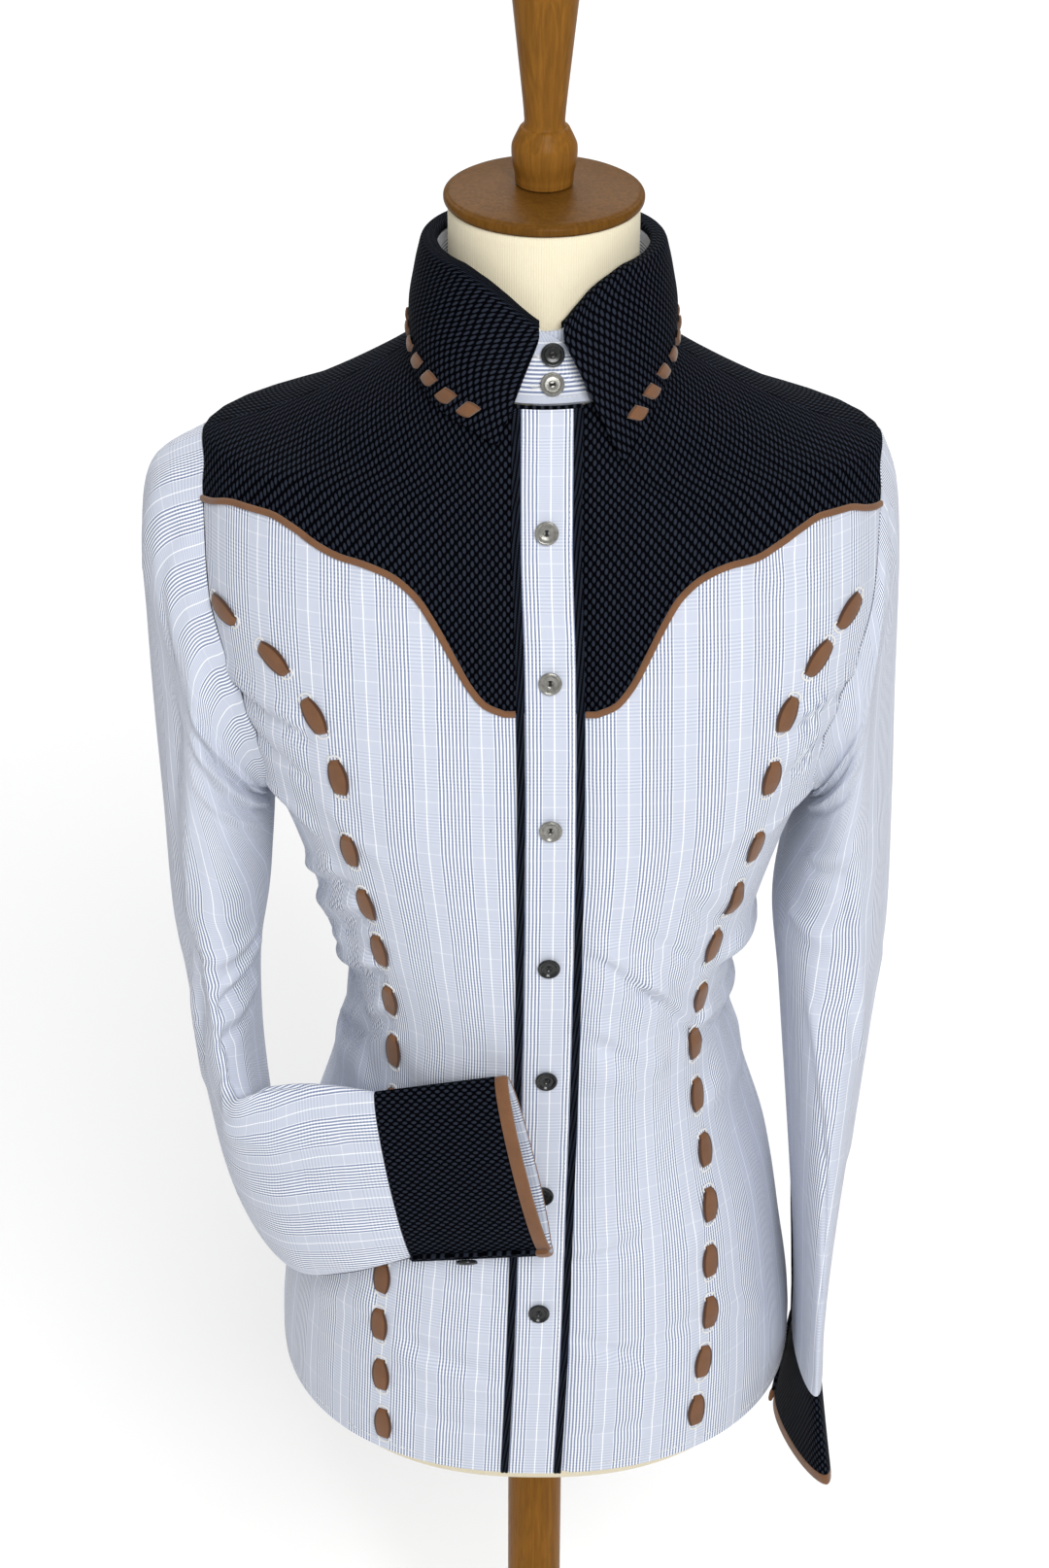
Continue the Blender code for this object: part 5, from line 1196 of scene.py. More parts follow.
# the same shell twice: painted bright reflection on some buttons, painted dark reflection on the
# others
BUTTON_REFLECTION_LIT = button_material("smoky_shell_reflection_lit", SHELL_REFLECTION_LIT, 4.2)
BUTTON_REFLECTION_DARK = button_material("smoky_shell_reflection_dark", SHELL_REFLECTION_DARK, 3.0)
WHITE_THREAD = thread_material("thread_white", THREAD_WHITE)
BLACK_THREAD = thread_material("thread_black", THREAD_BLACK)
# near black, for the insides of the buttons' holes: painted shade
HOLE = begin("button_hole", 0.9, (0.004, 0.004, 0.004))[0]


# ---------------------------------------------------------------- mesh helpers
def grid_normals(points, closed=False):
    if closed:
        wide = np.concatenate([points[:, -1:], points, points[:, :1]], axis=1)
        across = wide[:, 2:] - wide[:, :-2]
    else:
        across = np.gradient(points, axis=1)
    down = np.gradient(points, axis=0)
    return unit(np.cross(down, across))


class Mesher:
    """Gathers points and faces, and makes them one object."""

    def __init__(self):
        self.points, self.faces, self.uvs, self.slots = [], [], [], []
        self.count = 0

    def add(self, points, faces, uvs=None, slot=0):
        """uvs has one pair for each point, or one for each corner of each face."""
        points = np.asarray(points, float).reshape(-1, 3)
        for k, face in enumerate(faces):
            self.faces.append([int(i) + self.count for i in face])
            self.slots.append(slot)
            if uvs is None:
                self.uvs += [(0.0, 0.0)] * len(face)
            elif isinstance(uvs, list):
                self.uvs += [tuple(c) for c in uvs[k]]
            else:
                self.uvs += [tuple(uvs[i]) for i in face]
        self.points.append(points)
        self.count += len(points)

    def make(self, name, materials, sharp=38.0):
        mesh = bpy.data.meshes.new(name)
        mesh.from_pydata(np.concatenate(self.points).tolist(), [], self.faces)
        layer = mesh.uv_layers.new(name="UVMap")
        layer.data.foreach_set("uv", np.asarray(self.uvs, float).ravel())
        for surface in materials:
            mesh.materials.append(surface)
        mesh.polygons.foreach_set("material_index", self.slots)
        mesh.shade_smooth()
        mesh.set_sharp_from_angle(angle=math.radians(sharp))
        mesh.update()
        made = bpy.data.objects.new(name, mesh)
        bpy.context.scene.collection.objects.link(made)
        return made


def quads(rows, columns, closed=False):
    """Corner numbers of a grid's faces, facing out where down x across does."""
    across = columns if closed else columns - 1
    i, j = np.meshgrid(np.arange(rows - 1), np.arange(across), indexing="ij")
    a, b = i * columns + j, i * columns + (j + 1) % columns
    return np.stack([a, a + columns, b + columns, b], axis=-1).reshape(-1, 4), i.ravel(), j.ravel()


def shell(mesher, outside, thick, uv, closed=False, normals=None, slots=(0, 0)):
    """A thin closed wall whose outer face is the grid. uv has a last column more if closed."""
    rows, columns = outside.shape[:2]
    normals = grid_normals(outside, closed) if normals is None else normals
    inside = outside - normals * thick
    faces, i, j = quads(rows, columns, closed)
    corner_uv = np.stack([uv[i, j], uv[i + 1, j], uv[i + 1, j + 1], uv[i, j + 1]], axis=1)
    size = rows * columns
    points = np.concatenate([outside.reshape(-1, 3), inside.reshape(-1, 3)])
    mesher.add(points, faces, list(corner_uv), slots[0])
    first = mesher.count - len(points)

    def more(face_list, uv_list, slot):
        for face, corners in zip(face_list, uv_list):
            mesher.faces.append([int(k) + first for k in face])
            mesher.slots.append(slot)
            mesher.uvs += [tuple(c) for c in corners]

    more(faces[:, ::-1] + size, corner_uv[:, ::-1], slots[1])
    rim, rim_uv = [], []
    steps = columns if closed else columns - 1
    for k in range(steps):
        n = (k + 1) % columns
        rim.append([k, n, n + size, k + size])
        rim_uv.append([uv[0, k], uv[0, k + 1], uv[0, k + 1], uv[0, k]])
        low = (rows - 1) * columns
        rim.append([low + k + size, low + n + size, low + n, low + k])
        rim_uv.append([uv[-1, k], uv[-1, k + 1], uv[-1, k + 1], uv[-1, k]])
    if not closed:
        for k in range(rows - 1):
            a, b, last = k * columns, (k + 1) * columns, columns - 1
            rim.append([a + size, b + size, b, a])
            rim_uv.append([uv[k, 0], uv[k + 1, 0], uv[k + 1, 0], uv[k, 0]])
            rim.append([a + last, b + last, b + last + size, a + last + size])
            rim_uv.append([uv[k, -1], uv[k + 1, -1], uv[k + 1, -1], uv[k, -1]])
    more(rim, rim_uv, slots[0])


def sweep(mesher, rings, slot=0, uv=None):
    """A closed tube through rings of points, with flat ends."""
    rings = np.asarray(rings, float)
    count, sides = rings.shape[:2]
    faces = quads(count, sides, True)[0].tolist()
    faces.append(list(range(sides)))
    faces.append([(count - 1) * sides + k for k in range(sides)][::-1])
    if uv is None:
        along = run_lengths(rings.mean(axis=1))
        turn = np.linspace(0, 0.004, sides)
        uv = np.stack(np.broadcast_arrays(along[:, None], turn[None, :]), axis=-1)
    mesher.add(rings.reshape(-1, 3), faces, uv.reshape(-1, 2), slot)


def tube(mesher, centres, normals, wide, high, sides=10, slot=0):
    """A tube along some centres, wide across the surface and high off it."""
    along = unit(np.gradient(centres, axis=0))
    across = unit(np.cross(along, normals))
    turn = 2 * np.pi * (np.arange(sides) + 0.5) / sides
    wide = np.broadcast_to(wide, len(centres))
    high = np.broadcast_to(high, len(centres))
    rings = (centres[:, None] + across[:, None] * (wide[:, None] * np.cos(turn))[..., None]
             + normals[:, None] * (high[:, None] * np.sin(turn))[..., None])
    sweep(mesher, rings, slot)


def stitches(mesher, path, pitch=0.0031, length=0.0022, radius=0.00024, slot=0, lift=0.0):
    """A run of single stitches along a path of (points, normals)."""
    points, normals = path
    lengths = run_lengths(points)
    starts = np.arange(pitch / 2, lengths[-1] - length, pitch)
    for s in starts:
        here = np.array([s, s + length * 0.22, s + length * 0.78, s + length])
        centre, n = between(here, lengths, points), unit(between(here, lengths, normals))
        rise = np.array([-0.4, 0.75, 0.75, -0.4]) * radius + lift
        tube(mesher, centre + n * rise[:, None], n, radius, radius * 0.8, 5, slot)


def finish_piece(made, nodes=()):
    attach(made, "root")
    if nodes:
        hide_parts(*nodes)
    return made


def cloth(name, outside, thick, uv, surfaces, nodes, slot, sharp=38.0, **walls):
    """One piece that is a thin wall. walls goes on to shell()."""
    mesher = Mesher()
    shell(mesher, outside, thick, uv, **walls)
    return finish_piece(mesher.make(name, surfaces, sharp), nodes)


def turned(profile, sides, way):
    """Points and faces of a turned solid whose profile starts and ends on its axis.

    way is 1 for a profile of (radius, height) from the top down, and -1 from the bottom.
    """
    turn = 2 * np.pi * np.arange(sides) / sides
    inner = profile[1:-1]
    ring = np.stack(np.broadcast_arrays(
        inner[:, :1] * np.cos(turn), inner[:, :1] * np.sin(turn), inner[:, 1:]), axis=-1)
    points = np.concatenate([ring.reshape(-1, 3),
                             [[0, 0, profile[0, 1]], [0, 0, profile[-1, 1]]]])
    faces = [face[::way] for face in quads(len(inner), sides, True)[0].tolist()]
    last = (len(inner) - 1) * sides
    for k in range(sides):
        pair = (k, (k + 1) % sides)[::way]
        faces.append([len(points) - 2, *pair])
        faces.append([len(points) - 1, *(last + i for i in pair[::-1])])
    return points, faces, turn


def lathe(name, profile, height, sides, surface, nodes, fine=5):
    """A turned piece, through a smooth curve of (radius, height) points."""
    keys = np.array(profile, float)
    rows = [keys[0]]
    for k in range(len(keys) - 1):
        p0, p1 = keys[max(k - 1, 0)], keys[k]
        p2, p3 = keys[k + 1], keys[min(k + 2, len(keys) - 1)]
        for t in np.linspace(0, 1, fine + 1)[1:]:
            straight = p1 + (p2 - p1) * t
            curved = 0.5 * (2 * p1 + (p2 - p0) * t + (2 * p0 - 5 * p1 + 4 * p2 - p3) * t**2
                            + (3 * p1 - p0 - 3 * p2 + p3) * t**3)
            rows.append(straight * 0.35 + curved * 0.65)
    rows = np.array(rows)
    rows[:, 0] = np.maximum(rows[:, 0], 0.0)
    rows[0, 0] = rows[-1, 0] = 0.0
    rows[:, 1] += height
    points, faces, turn = turned(rows, sides, -1)
    rings = len(rows) - 2
    along = np.concatenate([np.repeat(np.arange(rings), sides) * 0.001, [0, 0]])
    around = np.concatenate([np.tile(turn, rings) * 0.03, [0, 0]])
    mesher = Mesher()
    mesher.add(points, faces, np.stack([around, along], axis=-1))
    return finish_piece(mesher.make(name, [surface], 30.0), nodes)


# ---------------------------------------------------------------- the shirt's body
def flap(side):
    """Columns under the placket: from its middle, and how far in."""
    under = -(CLOTH + LAYER)
    if side > 0:
        return ((-UNDERLAP, under), (-0.003, under), (0.004, under), (0.011, under),
                (PLACKET_FLAP + 0.001, under))
    return ((-PLACKET_FLAP, 0.0), (-0.010, 0.0), (-0.004, 0.0), (0.003, 0.0), (0.010, 0.0))


def panel(grid, side, uv_of):
    """Points, normals and lengths of a front panel, with what lies under the placket."""
    drops = grid[:, 0, 1]
    angle, drop, lift = [], [], []
    for x, out in flap(side):
        angle.append(angle_at_x(side * PLACKET_X(drops) + x, drops))
        drop.append(drops)
        lift.append(np.full(len(drops), out))
    angle = np.concatenate([np.stack(angle, 1), grid[..., 0]], axis=1)
    drop = np.concatenate([np.stack(drop, 1), grid[..., 1]], axis=1)
    lift = np.concatenate([np.stack(lift, 1), np.zeros(grid.shape[:2])], axis=1)
    if side < 0:
        angle, drop, lift = -angle[:, ::-1], drop[:, ::-1], lift[:, ::-1]
    points, normals = body(angle, drop, lift)
    return points, normals, uv_of(angle, drop)


def draw_in(points, rows, side_column, by):
    """Draw one side of a grid in, away from the seam."""
    at, beside = side_column
    step = unit(points[rows, beside] - points[rows, at])
    points[rows, at] = points[rows, at] + step * by


def piping(name, line, places, node):
    """A raised suede cord along a seam's (points, normals), through some places."""
    points, normals = line
    keys = np.arange(len(points))
    mesher = Mesher()
    tube(mesher, between(places, keys, points), unit(between(places, keys, normals)),
         PIPING_WIDE, PIPING_HIGH, PIPING_SIDES)
    finish_piece(mesher.make(name, [SUEDE_BAND]), [node])


for side, word in ((1, "left"), (-1, "right")):
    yoke_grid, front_grid = front_patches(side)
    edge = (-1, -2) if side > 0 else (0, 1)

    points, normals, uv = panel(yoke_grid, side, yoke_uv)
    points[0] += unit(points[1] - points[0]) * HALF_SEAM
    points[-1] += unit(points[-2] - points[-1]) * HALF_SEAM
    draw_in(points, np.arange(RIDGE_STEPS + 1), edge, HALF_SEAM)
    cloth(
        "yoke_front_%s_cloth" % word, points, SHELL, uv, [DOBBY], ["yoke_front_" + word],
        "black_dobby", normals=normals)
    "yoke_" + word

    points, normals, uv = panel(front_grid, side, lambda a, d: front_uv(a, d, side))
    points[0] += unit(points[1] - points[0]) * HALF_SEAM
    draw_in(points, np.arange(FINE_SIDES // 2 - FRONT_YOKE_STEPS, len(points)), edge, HALF_SEAM)
    cloth(
        "front_%s_cloth" % word, points, SHELL, uv, [PLAID], ["front_" + word],
        "plaid_cotton", normals=normals)
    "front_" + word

    # the piping over the yoke's seam
    seam = front_grid[0]
    start_x = np.linspace(PLACKET_FLAP + 0.0004, YOKE_FRONT_EDGE[0][0], 6)[:-1]
    start = angle_at_x(side * PLACKET_X(YOKE_FRONT_EDGE[0][1]) + start_x, YOKE_FRONT_EDGE[0][1])
    seam = np.concatenate([pairs(start, YOKE_FRONT_EDGE[0][1]), seam])
    line = body(side * seam[:, 0], seam[:, 1], LAYER + FRONT_PIPING_LIFT)
    piping("yoke_piping_front_%s_band" % word, line,
           np.linspace(0, len(seam) - 1, 260)[:-1], "yoke_piping_front_" + word)

yoke_grid, back_grid = back_patches()
for grid, name, node, surface, slot in (
    (yoke_grid, "yoke_back_cloth", "yoke_back", DOBBY, "black_dobby"),
    (back_grid, "back_cloth", "back", PLAID, "plaid_cotton"),
):
    angle = np.concatenate([grid[:, ::-1, 0], 360 - grid[:, 1:, 0]], axis=1)
    drop = np.concatenate([grid[:, ::-1, 1], grid[:, 1:, 1]], axis=1)
    points, normals = body(angle, drop)
    points[0] += unit(points[1] - points[0]) * HALF_SEAM
    if node == "yoke_back":
        points[-1] += unit(points[-2] - points[-1]) * HALF_SEAM
        rows = np.arange(RIDGE_STEPS + 1)
        back_seam = body(angle[-1], drop[-1], LAYER + BACK_PIPING_LIFT)
    else:
        rows = np.arange(FINE_SIDES // 2 - BACK_YOKE_STEPS, len(points))
    draw_in(points, rows, (0, 1), HALF_SEAM)
    draw_in(points, rows, (-1, -2), HALF_SEAM)
    cloth(name, points, SHELL, back_uv(angle, drop, node == "back"),
                               [surface], [node], slot, normals=normals)
piping("yoke_piping_back_band", back_seam, np.linspace(0.3, len(back_seam[0]) - 1.3, 320),
       "yoke_piping_back")

# The placket and the two folded bands beside it.
drops = np.linspace(NECK_SEAM_FRONT + 0.002, HEM_FRONT - 0.001, 240)
middle_x = PLACKET_X(drops)


def band(name, centre, width, thick, columns, relief, surface, uv_shift, node, slot):
    """A flat band down the front. relief gives its height at each share across."""
    share = np.linspace(0, 1, columns + 1)
    x = middle_x[:, None] + centre + width * (share[None] - 0.5)
    drop = np.broadcast_to(drops[:, None], x.shape)
    lift = LAYER + thick * relief(share)[None]
    points, normals = body(angle_at_x(x, drop), drop, np.broadcast_to(lift, x.shape))
    along = np.broadcast_to(down_middle(drops)[:, None], x.shape)
    uv = np.stack([x - middle_x[:, None] + uv_shift, along], axis=-1)
    return cloth(name, points, (thick * relief(share) * 0.95)[None, :, None], uv, [surface],
                 [node], slot, normals=normals)


def flat_relief(share):
    return 1 - 0.45 * np.clip(1 - np.minimum(share, 1 - share) / 0.06, 0, 1) ** 2


def double_relief(share):
    """Two ridges with a groove between them."""
    return 0.62 + 0.38 * np.abs(np.sin(2 * np.pi * np.clip(share, 0.03, 0.97))) ** 0.7


PLACKET_STRIPES = -0.0082  # where its own stripes begin, from its middle
TRIM_FULL = 1.35  # times the solid's thickness, at the top of its two ridges
band(
    "placket_cloth", 0.0, PLACKET_WIDTH, PLACKET_THICK, 24, flat_relief, PLAID,
    PLACKET_STRIPES, "placket", "plaid_cotton")
for word, sign in (("right", -1), ("left", 1)):
    centre = sign * (PLACKET_WIDTH / 2 + SEAM + (TRIM_WIDTH - SEAM) / 2)
    band(
        "placket_trim_%s_cloth" % word, centre, TRIM_WIDTH - SEAM, TRIM_THICK * TRIM_FULL, 16,
        double_relief, DOBBY_FINE, 0.0, "placket_trim_" + word, "black_dobby")
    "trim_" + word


# ---------------------------------------------------------------- sleeves
def smooth_rows(rows, places):
    """Rows of any arrays, blended smoothly at places counted in rows."""
    rows = np.asarray(rows, float)
    last = len(rows) - 1
    k = np.clip(np.floor(places).astype(int), 0, last - 1)
    f = (places - k).reshape(-1, *([1] * (rows.ndim - 1)))
    p, q = rows[np.maximum(k - 1, 0)], rows[k]
    r, z = rows[k + 1], rows[np.minimum(k + 2, last)]
    return 0.5 * (2 * q + (r - p) * f + (2 * p - 5 * q + 4 * r - z) * f**2
                  + (3 * q - p - 3 * r + z) * f**3)


def section_ring(row, side, turn):
    """Points of a sleeve's section at some turns, mirrored for the right arm."""
    value = dict(zip(SLEEVE_COLUMNS, row))
    middle = np.array([value["x"], -value["front"], NECK_TOP - value["drop"]])
    wide = unit(np.array([value["wide_x"], -value["wide_front"], value["wide_up"]]))
    out = np.array([value["out_x"], -value["out_front"], value["out_up"]])
    out = unit(out - wide * out.dot(wide))
    t = np.radians(turn)[:, None]
    ring = middle + out * value["thick"] * np.cos(t) + wide * value["wide"] * np.sin(t)
    return ring * np.array([side, 1, 1])


def trough_depth(troughs, turn, share):
    """The largest folds of a sleeve, as its solid has them."""
    depth = np.zeros(np.broadcast(turn, share).shape)
    for row in troughs:
        fold = dict(zip(TROUGH_COLUMNS, row))
        along = (share - fold["start"]) / (fold["end"] - fold["start"])
        middle = fold["turn"] + (fold["to_turn"] - fold["turn"]) * along
        aside = (turn - middle + 180) % 360 - 180
        there = fold["depth"] * soft(aside, fold["spread"]) * soft(2 * along - 1, 1.0)
        depth = depth + np.where((along > 0) & (along < 1), there, 0.0)
    return depth


CROWN_AT = 0.45  # where the sleeve's head stands out, from the armhole to the first ring
PLEATS, PLEAT_HEIGHT, PLEAT_REACH = 9, 0.0007, 0.10  # where a sleeve is gathered in


def sleeve_surface(table, side, head, troughs, creases):
    """Fine rings of a sleeve, its turns and its shares of the way down.

    The columns start and end at the inner seam and follow the outer face's direction.
    """
    turn = 360.0 * np.arange(FINE_SIDES) / FINE_SIDES
    angle, drop = armhole().T
    seam = base(angle, drop)
    height = folds(BODY_FOLDS, np.abs(angle), drop, METRES_PER_DEGREE, 1.0, FOLD_END)
    height = height + folds(BODY_CREASES, side * angle, drop, METRES_PER_DEGREE, 1.0,
                            CREASE_END)
    seam = seam + body_normal(angle, drop) * height[:, None]
    seam = (seam + [2 * SEAM, 0, 0]) * np.array([side, 1, 1])
    first = section_ring(table[0], side, turn)
    up = np.maximum(0, np.cos(np.radians(turn)))[:, None]
    crown = seam + (first - seam) * CROWN_AT + up * head * np.array([side, 0, 0.4])
    rows = smooth_rows(table, np.linspace(0, len(table) - 1, SLEEVE_RINGS))
    rings = np.stack([seam, crown] + [section_ring(row, side, turn) for row in rows])
    places = np.linspace(0, 1, SLEEVE_ROWS + 1) ** 0.92 * (len(rings) - 1)
    points = smooth_rows(rings, places)
    order = np.roll(np.arange(FINE_SIDES), FINE_SIDES // 2)
    if side > 0:
        order = order[::-1]
    points, turn = points[:, order], turn[order]
    share = places / (len(rings) - 1)
    n = grid_normals(points, True)
    lift = folds(creases, turn[None], share[:, None], SLEEVE_PER_DEGREE, SLEEVE_LENGTH,
                 CREASE_END)
    lift = lift - trough_depth(troughs, turn[None], share[:, None])
    ends = np.clip(np.minimum(share / 0.05, (1 - share) / 0.04), 0, 1)[:, None]
    # small gathers where the sleeve is pleated into its cuff
    pleats = PLEAT_HEIGHT * np.sin(np.radians(turn * PLEATS))[None]
    pleats = pleats * soft(1 - share, PLEAT_REACH)[:, None]
    points = points + n * (lift * ends + pleats * ends)[..., None]
    return points, turn, share


def open_uv(points):
    """Lengths across and along an open grid."""
    across = np.linalg.norm(np.diff(points, axis=1), axis=-1)
    across = np.concatenate([np.zeros((len(points), 1)), np.cumsum(across, axis=1)], axis=1)
    along = run_lengths(points[:, points.shape[1] // 2])
    return np.stack(np.broadcast_arrays(across, along[:, None]), axis=-1)


def around_uv(points):
    """Lengths round and along a tube, from the middle of its columns."""
    uv = open_uv(np.concatenate([points, points[:, :1]], axis=1))
    uv[..., 0] -= uv[:, -1:, 0] / 2
    return uv


def smooth_step(value):
    value = np.clip(value, 0, 1)
    return value * value * (3 - 2 * value)


LAP = 22.5  # degrees by which a cuff laps over its own start
CUFF_START = 270.0  # the turn, at the sleeve's back, where it begins
CUFF_BUTTON_AT = 371  # degrees on from there, on the lap
CUFF_BUTTON_ROW = 11
CUFF_ROWS, CUFF_COLUMNS = 26, 124
LAP_RISE_FROM, LAP_RISE_OVER = 340, 18  # degrees over which the lap climbs on itself


def cuff_surface(table, end, side, shares, lap_height):
    """Open rings of a cuff that lap over their own start, at shares of its length."""
    swept = np.linspace(0, 360 + LAP, CUFF_COLUMNS)
    turn = CUFF_START - side * swept
    last = np.array(table[-1])
    rows = [last + (np.array(end) - last) * t for t in shares]
    points = np.stack([section_ring(row, side, turn) for row in rows])
    n = grid_normals(points)
    lift = smooth_step((swept - LAP_RISE_FROM) / LAP_RISE_OVER) * lap_height
    return points + n * lift[None, :, None], swept


WELL = 0.30  # height of the floor round a button's holes, as a share of its thickness
HOLE_OUT, HOLE_RADIUS = 0.00115, 0.0010  # a hole's place out from the middle, and its size
STRAND_APART = 0.00026  # between the three strands of the thread


def button(name, place, outward, surface, node, twist=0.0):
    """A round sew-through button with two holes and its thread."""
    r, t = BUTTON_RADIUS, BUTTON_THICK
    profile = np.array([
        (0.0, WELL * t), (0.24 * r, WELL * t), (0.30 * r, 0.46 * t), (0.36 * r, 0.52 * t),
        (0.62 * r, 0.56 * t), (0.70 * r, 0.74 * t), (0.80 * r, 0.96 * t), (0.88 * r, t),
        (0.95 * r, 0.93 * t), (0.995 * r, 0.72 * t), (r, 0.55 * t), (0.97 * r, 0.32 * t),
        (0.90 * r, 0.10 * t), (0.80 * r, 0.0), (0.0, 0.0),
    ])
    points, faces, turn = turned(profile, 48, 1)
    mesher = Mesher()
    mesher.add(points, faces, points[:, :2])
    # the holes aren't cut: each is a near-black disc on the well's floor, painted shade
    for sign in (1, -1):
        disc = np.array([(sign * HOLE_OUT + HOLE_RADIUS * math.cos(a),
                          HOLE_RADIUS * math.sin(a), WELL * t + 0.00003) for a in turn[::4]])
        mesher.add(disc, [list(range(len(disc)))], None, 1)
    for offset in (-STRAND_APART, 0.0, STRAND_APART):
        s = np.linspace(-1, 1, 9)
        centre = np.stack([s * 0.00108, np.full(9, offset) * (1.2 - 0.5 * s * s),
                           WELL * t + 0.00042 - 0.0004 * s**4], axis=-1)
        tube(mesher, centre, np.tile([0.0, 0.0, 1.0], (9, 1)), 0.00030, 0.00020, 6, 2)
    made = mesher.make(name, [surface, HOLE, BLACK_THREAD], 30.0)
    facing = Vector(outward).to_track_quat("Z", "Y").to_matrix().to_4x4()
    made.data.transform(Matrix.Translation(place) @ facing @ Matrix.Rotation(
        math.radians(twist), 4, "Z"))
    return finish_piece(made, [node])


ARMS = ((1, "left", LEFT_SLEEVE, LEFT_CUFF_END, LEFT_HEAD, LEFT_TROUGHS, LEFT_CREASES),
        (-1, "right", RIGHT_SLEEVE, RIGHT_CUFF_END, RIGHT_HEAD, RIGHT_TROUGHS,
         RIGHT_CREASES))
for side, word, table, end, head, troughs, creases in ARMS:
    points, turn, share = sleeve_surface(table, side, head, troughs, creases)
    nodes = ["sleeve_left"] if side > 0 else ["sleeve_right_upper", "sleeve_right_lower"]
    cloth(
        "sleeve_%s_cloth" % word, points, SHELL, around_uv(points), [PLAID], nodes,
        "plaid_cotton", 60.0, closed=True)
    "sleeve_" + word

    # the facing along the sleeve's slit
    normals = grid_normals(points, True)
    rows = np.where(share >= 1 - SLIT_RINGS / (SLEEVE_RINGS + 1))[0]
    columns = np.where((turn >= CUFF_START - 2 * LAP) & (turn <= CUFF_START))[0]
    piece = points[np.ix_(rows, columns)]
    facing = normals[np.ix_(rows, columns)]
    across = np.linspace(-1, 1, len(columns))
    rise = LAYER + PLACKET_THICK * (1 - 0.4 * np.abs(across) ** 6)
    piece = piece + facing * rise[None, :, None]
    piece[-1] += unit(piece[-2] - piece[-1]) * SEAM
    cloth(
        "sleeve_placket_%s_cloth" % word, piece, PLACKET_THICK * 0.9, open_uv(piece),
        [DOBBY], ["sleeve_placket_" + word], "black_dobby", normals=facing)
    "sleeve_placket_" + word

    length = np.linalg.norm(np.array(end[0:3]) - np.array(table[-1][0:3]))
    gap, bound = 2 * SEAM / length, BINDING_LENGTH / length
    shares = np.linspace(gap, 1 - bound - gap, CUFF_ROWS)
    points, swept = cuff_surface(table, end, side, shares, CUFF_THICK + LAYER)
    cloth(
        "cuff_%s_cloth" % word, points, CUFF_THICK, open_uv(points), [DOBBY, PLAID_INSIDE_SHADED],
        ["cuff_" + word], "black_dobby", slots=(0, 1))
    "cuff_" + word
    n = grid_normals(points)
    row, column = CUFF_BUTTON_ROW, int(np.argmin(np.abs(swept - CUFF_BUTTON_AT)))
    cuff_place = points[row, column] + n[row, column] * LAYER
    # the copy painted with a dark reflection, so the button merges with the dark cuff
    button("cuff_button_%s_shell" % word, cuff_place, n[row, column], BUTTON_REFLECTION_DARK,
           "cuff_button_" + word, 20.0)

    # the binding, folded over the cuff's edge
    shares = np.linspace(1 - bound, 1.0, 9)
    points, swept = cuff_surface(table, end, side, shares, BINDING_THICK + LAYER)
    n = grid_normals(points)
    round_off = np.array([0.25, 0.05, 0, 0, 0, 0, 0.06, 0.22, 0.55]) * BINDING_THICK * 0.5
    outer = points - n * round_off[:, None, None]
    cloth(
        "cuff_binding_%s_band" % word, outer, (BINDING_THICK - 2 * round_off)[:, None, None],
        open_uv(points), [SUEDE_BAND, PLAID_INSIDE_SHADED], ["cuff_binding_" + word],
        "brown_suede", 50.0, normals=n, slots=(0, 1))
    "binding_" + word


# ---------------------------------------------------------------- collar and stand
STAND_TOP = Curve(STAND_EDGE, STAND_COLUMNS, "degrees", "top")
STAND_IN = Curve(STAND_EDGE, STAND_COLUMNS, "degrees", "in_share")

degrees = np.linspace(STAND_EDGE[0][0], STAND_EDGE[-1][0], 340)
top, seam = STAND_TOP(degrees), neck_seam(degrees) - STAND_GAP
share = np.linspace(0, 1, 22)[:, None]
drop = top + (seam - top) * share
wide = np.broadcast_to(degrees, drop.shape)
n = body_normal(wide, drop)
points = base(wide, drop) - n * (STAND_IN(degrees) * (STAND_THICK + LAYER))[None, :, None]
# cut crosswise, so the check's stripes run round the neck
uv = np.stack([drop, open_uv(points)[..., 0]], axis=-1)
cloth("collar_stand_cloth", points, STAND_THICK, uv, [PLAID],
                              ["collar_stand"], "plaid_cotton", normals=n)


def fall_edge(share):
    """Angle and drop of the collar's outer edge, at shares of the way round."""
    start, end = FALL_EDGE_LEFT[0][0], 360 - FALL_EDGE_RIGHT[0][0]
    angle = start + (end - start) * share
    left = Curve(FALL_EDGE_LEFT, FALL_COLUMNS, "degrees", "drop")(angle)
    right = Curve(FALL_EDGE_RIGHT, FALL_COLUMNS, "degrees", "drop")(360 - angle)
    return angle, np.where(angle <= 180, left, right)


LEAF_FINE = 300  # columns round the collar
LEAF_BOW = 0.0022  # of the leaf, out between its roll and its edge
SWELL, SWELL_REACH, SWELL_MIDDLES = 0.0012, 40, (66, 292)  # between tips and shoulders
share = np.linspace(0, 1, LEAF_FINE + 1)
around = LEAF_START + (LEAF_END - LEAF_START) * share
top = STAND_TOP(around)
rows = []
for radius, below in COLLAR_ROLL:
    a = np.radians(around)
    rows.append(np.stack([radius * np.sin(a), -radius * np.cos(a),
                          NECK_TOP - top - below], axis=-1))
angle, drop = fall_edge(share)
edge = base(angle, drop) + body_normal(angle, drop) * COLLAR_LIFT
start = rows[-1]
outward = unit(start * [1, 1, 0])
for k in range(1, LEAF_ROWS + 1):
    f = k / LEAF_ROWS
    rows.append(start + (edge - start) * f + outward * LEAF_BOW * math.sin(math.pi * f))
rows = np.stack(rows)
places = np.concatenate([np.linspace(0, 3, 16)[:-1], np.linspace(3, len(rows) - 1, 46)])
leaf = smooth_rows(rows, places)
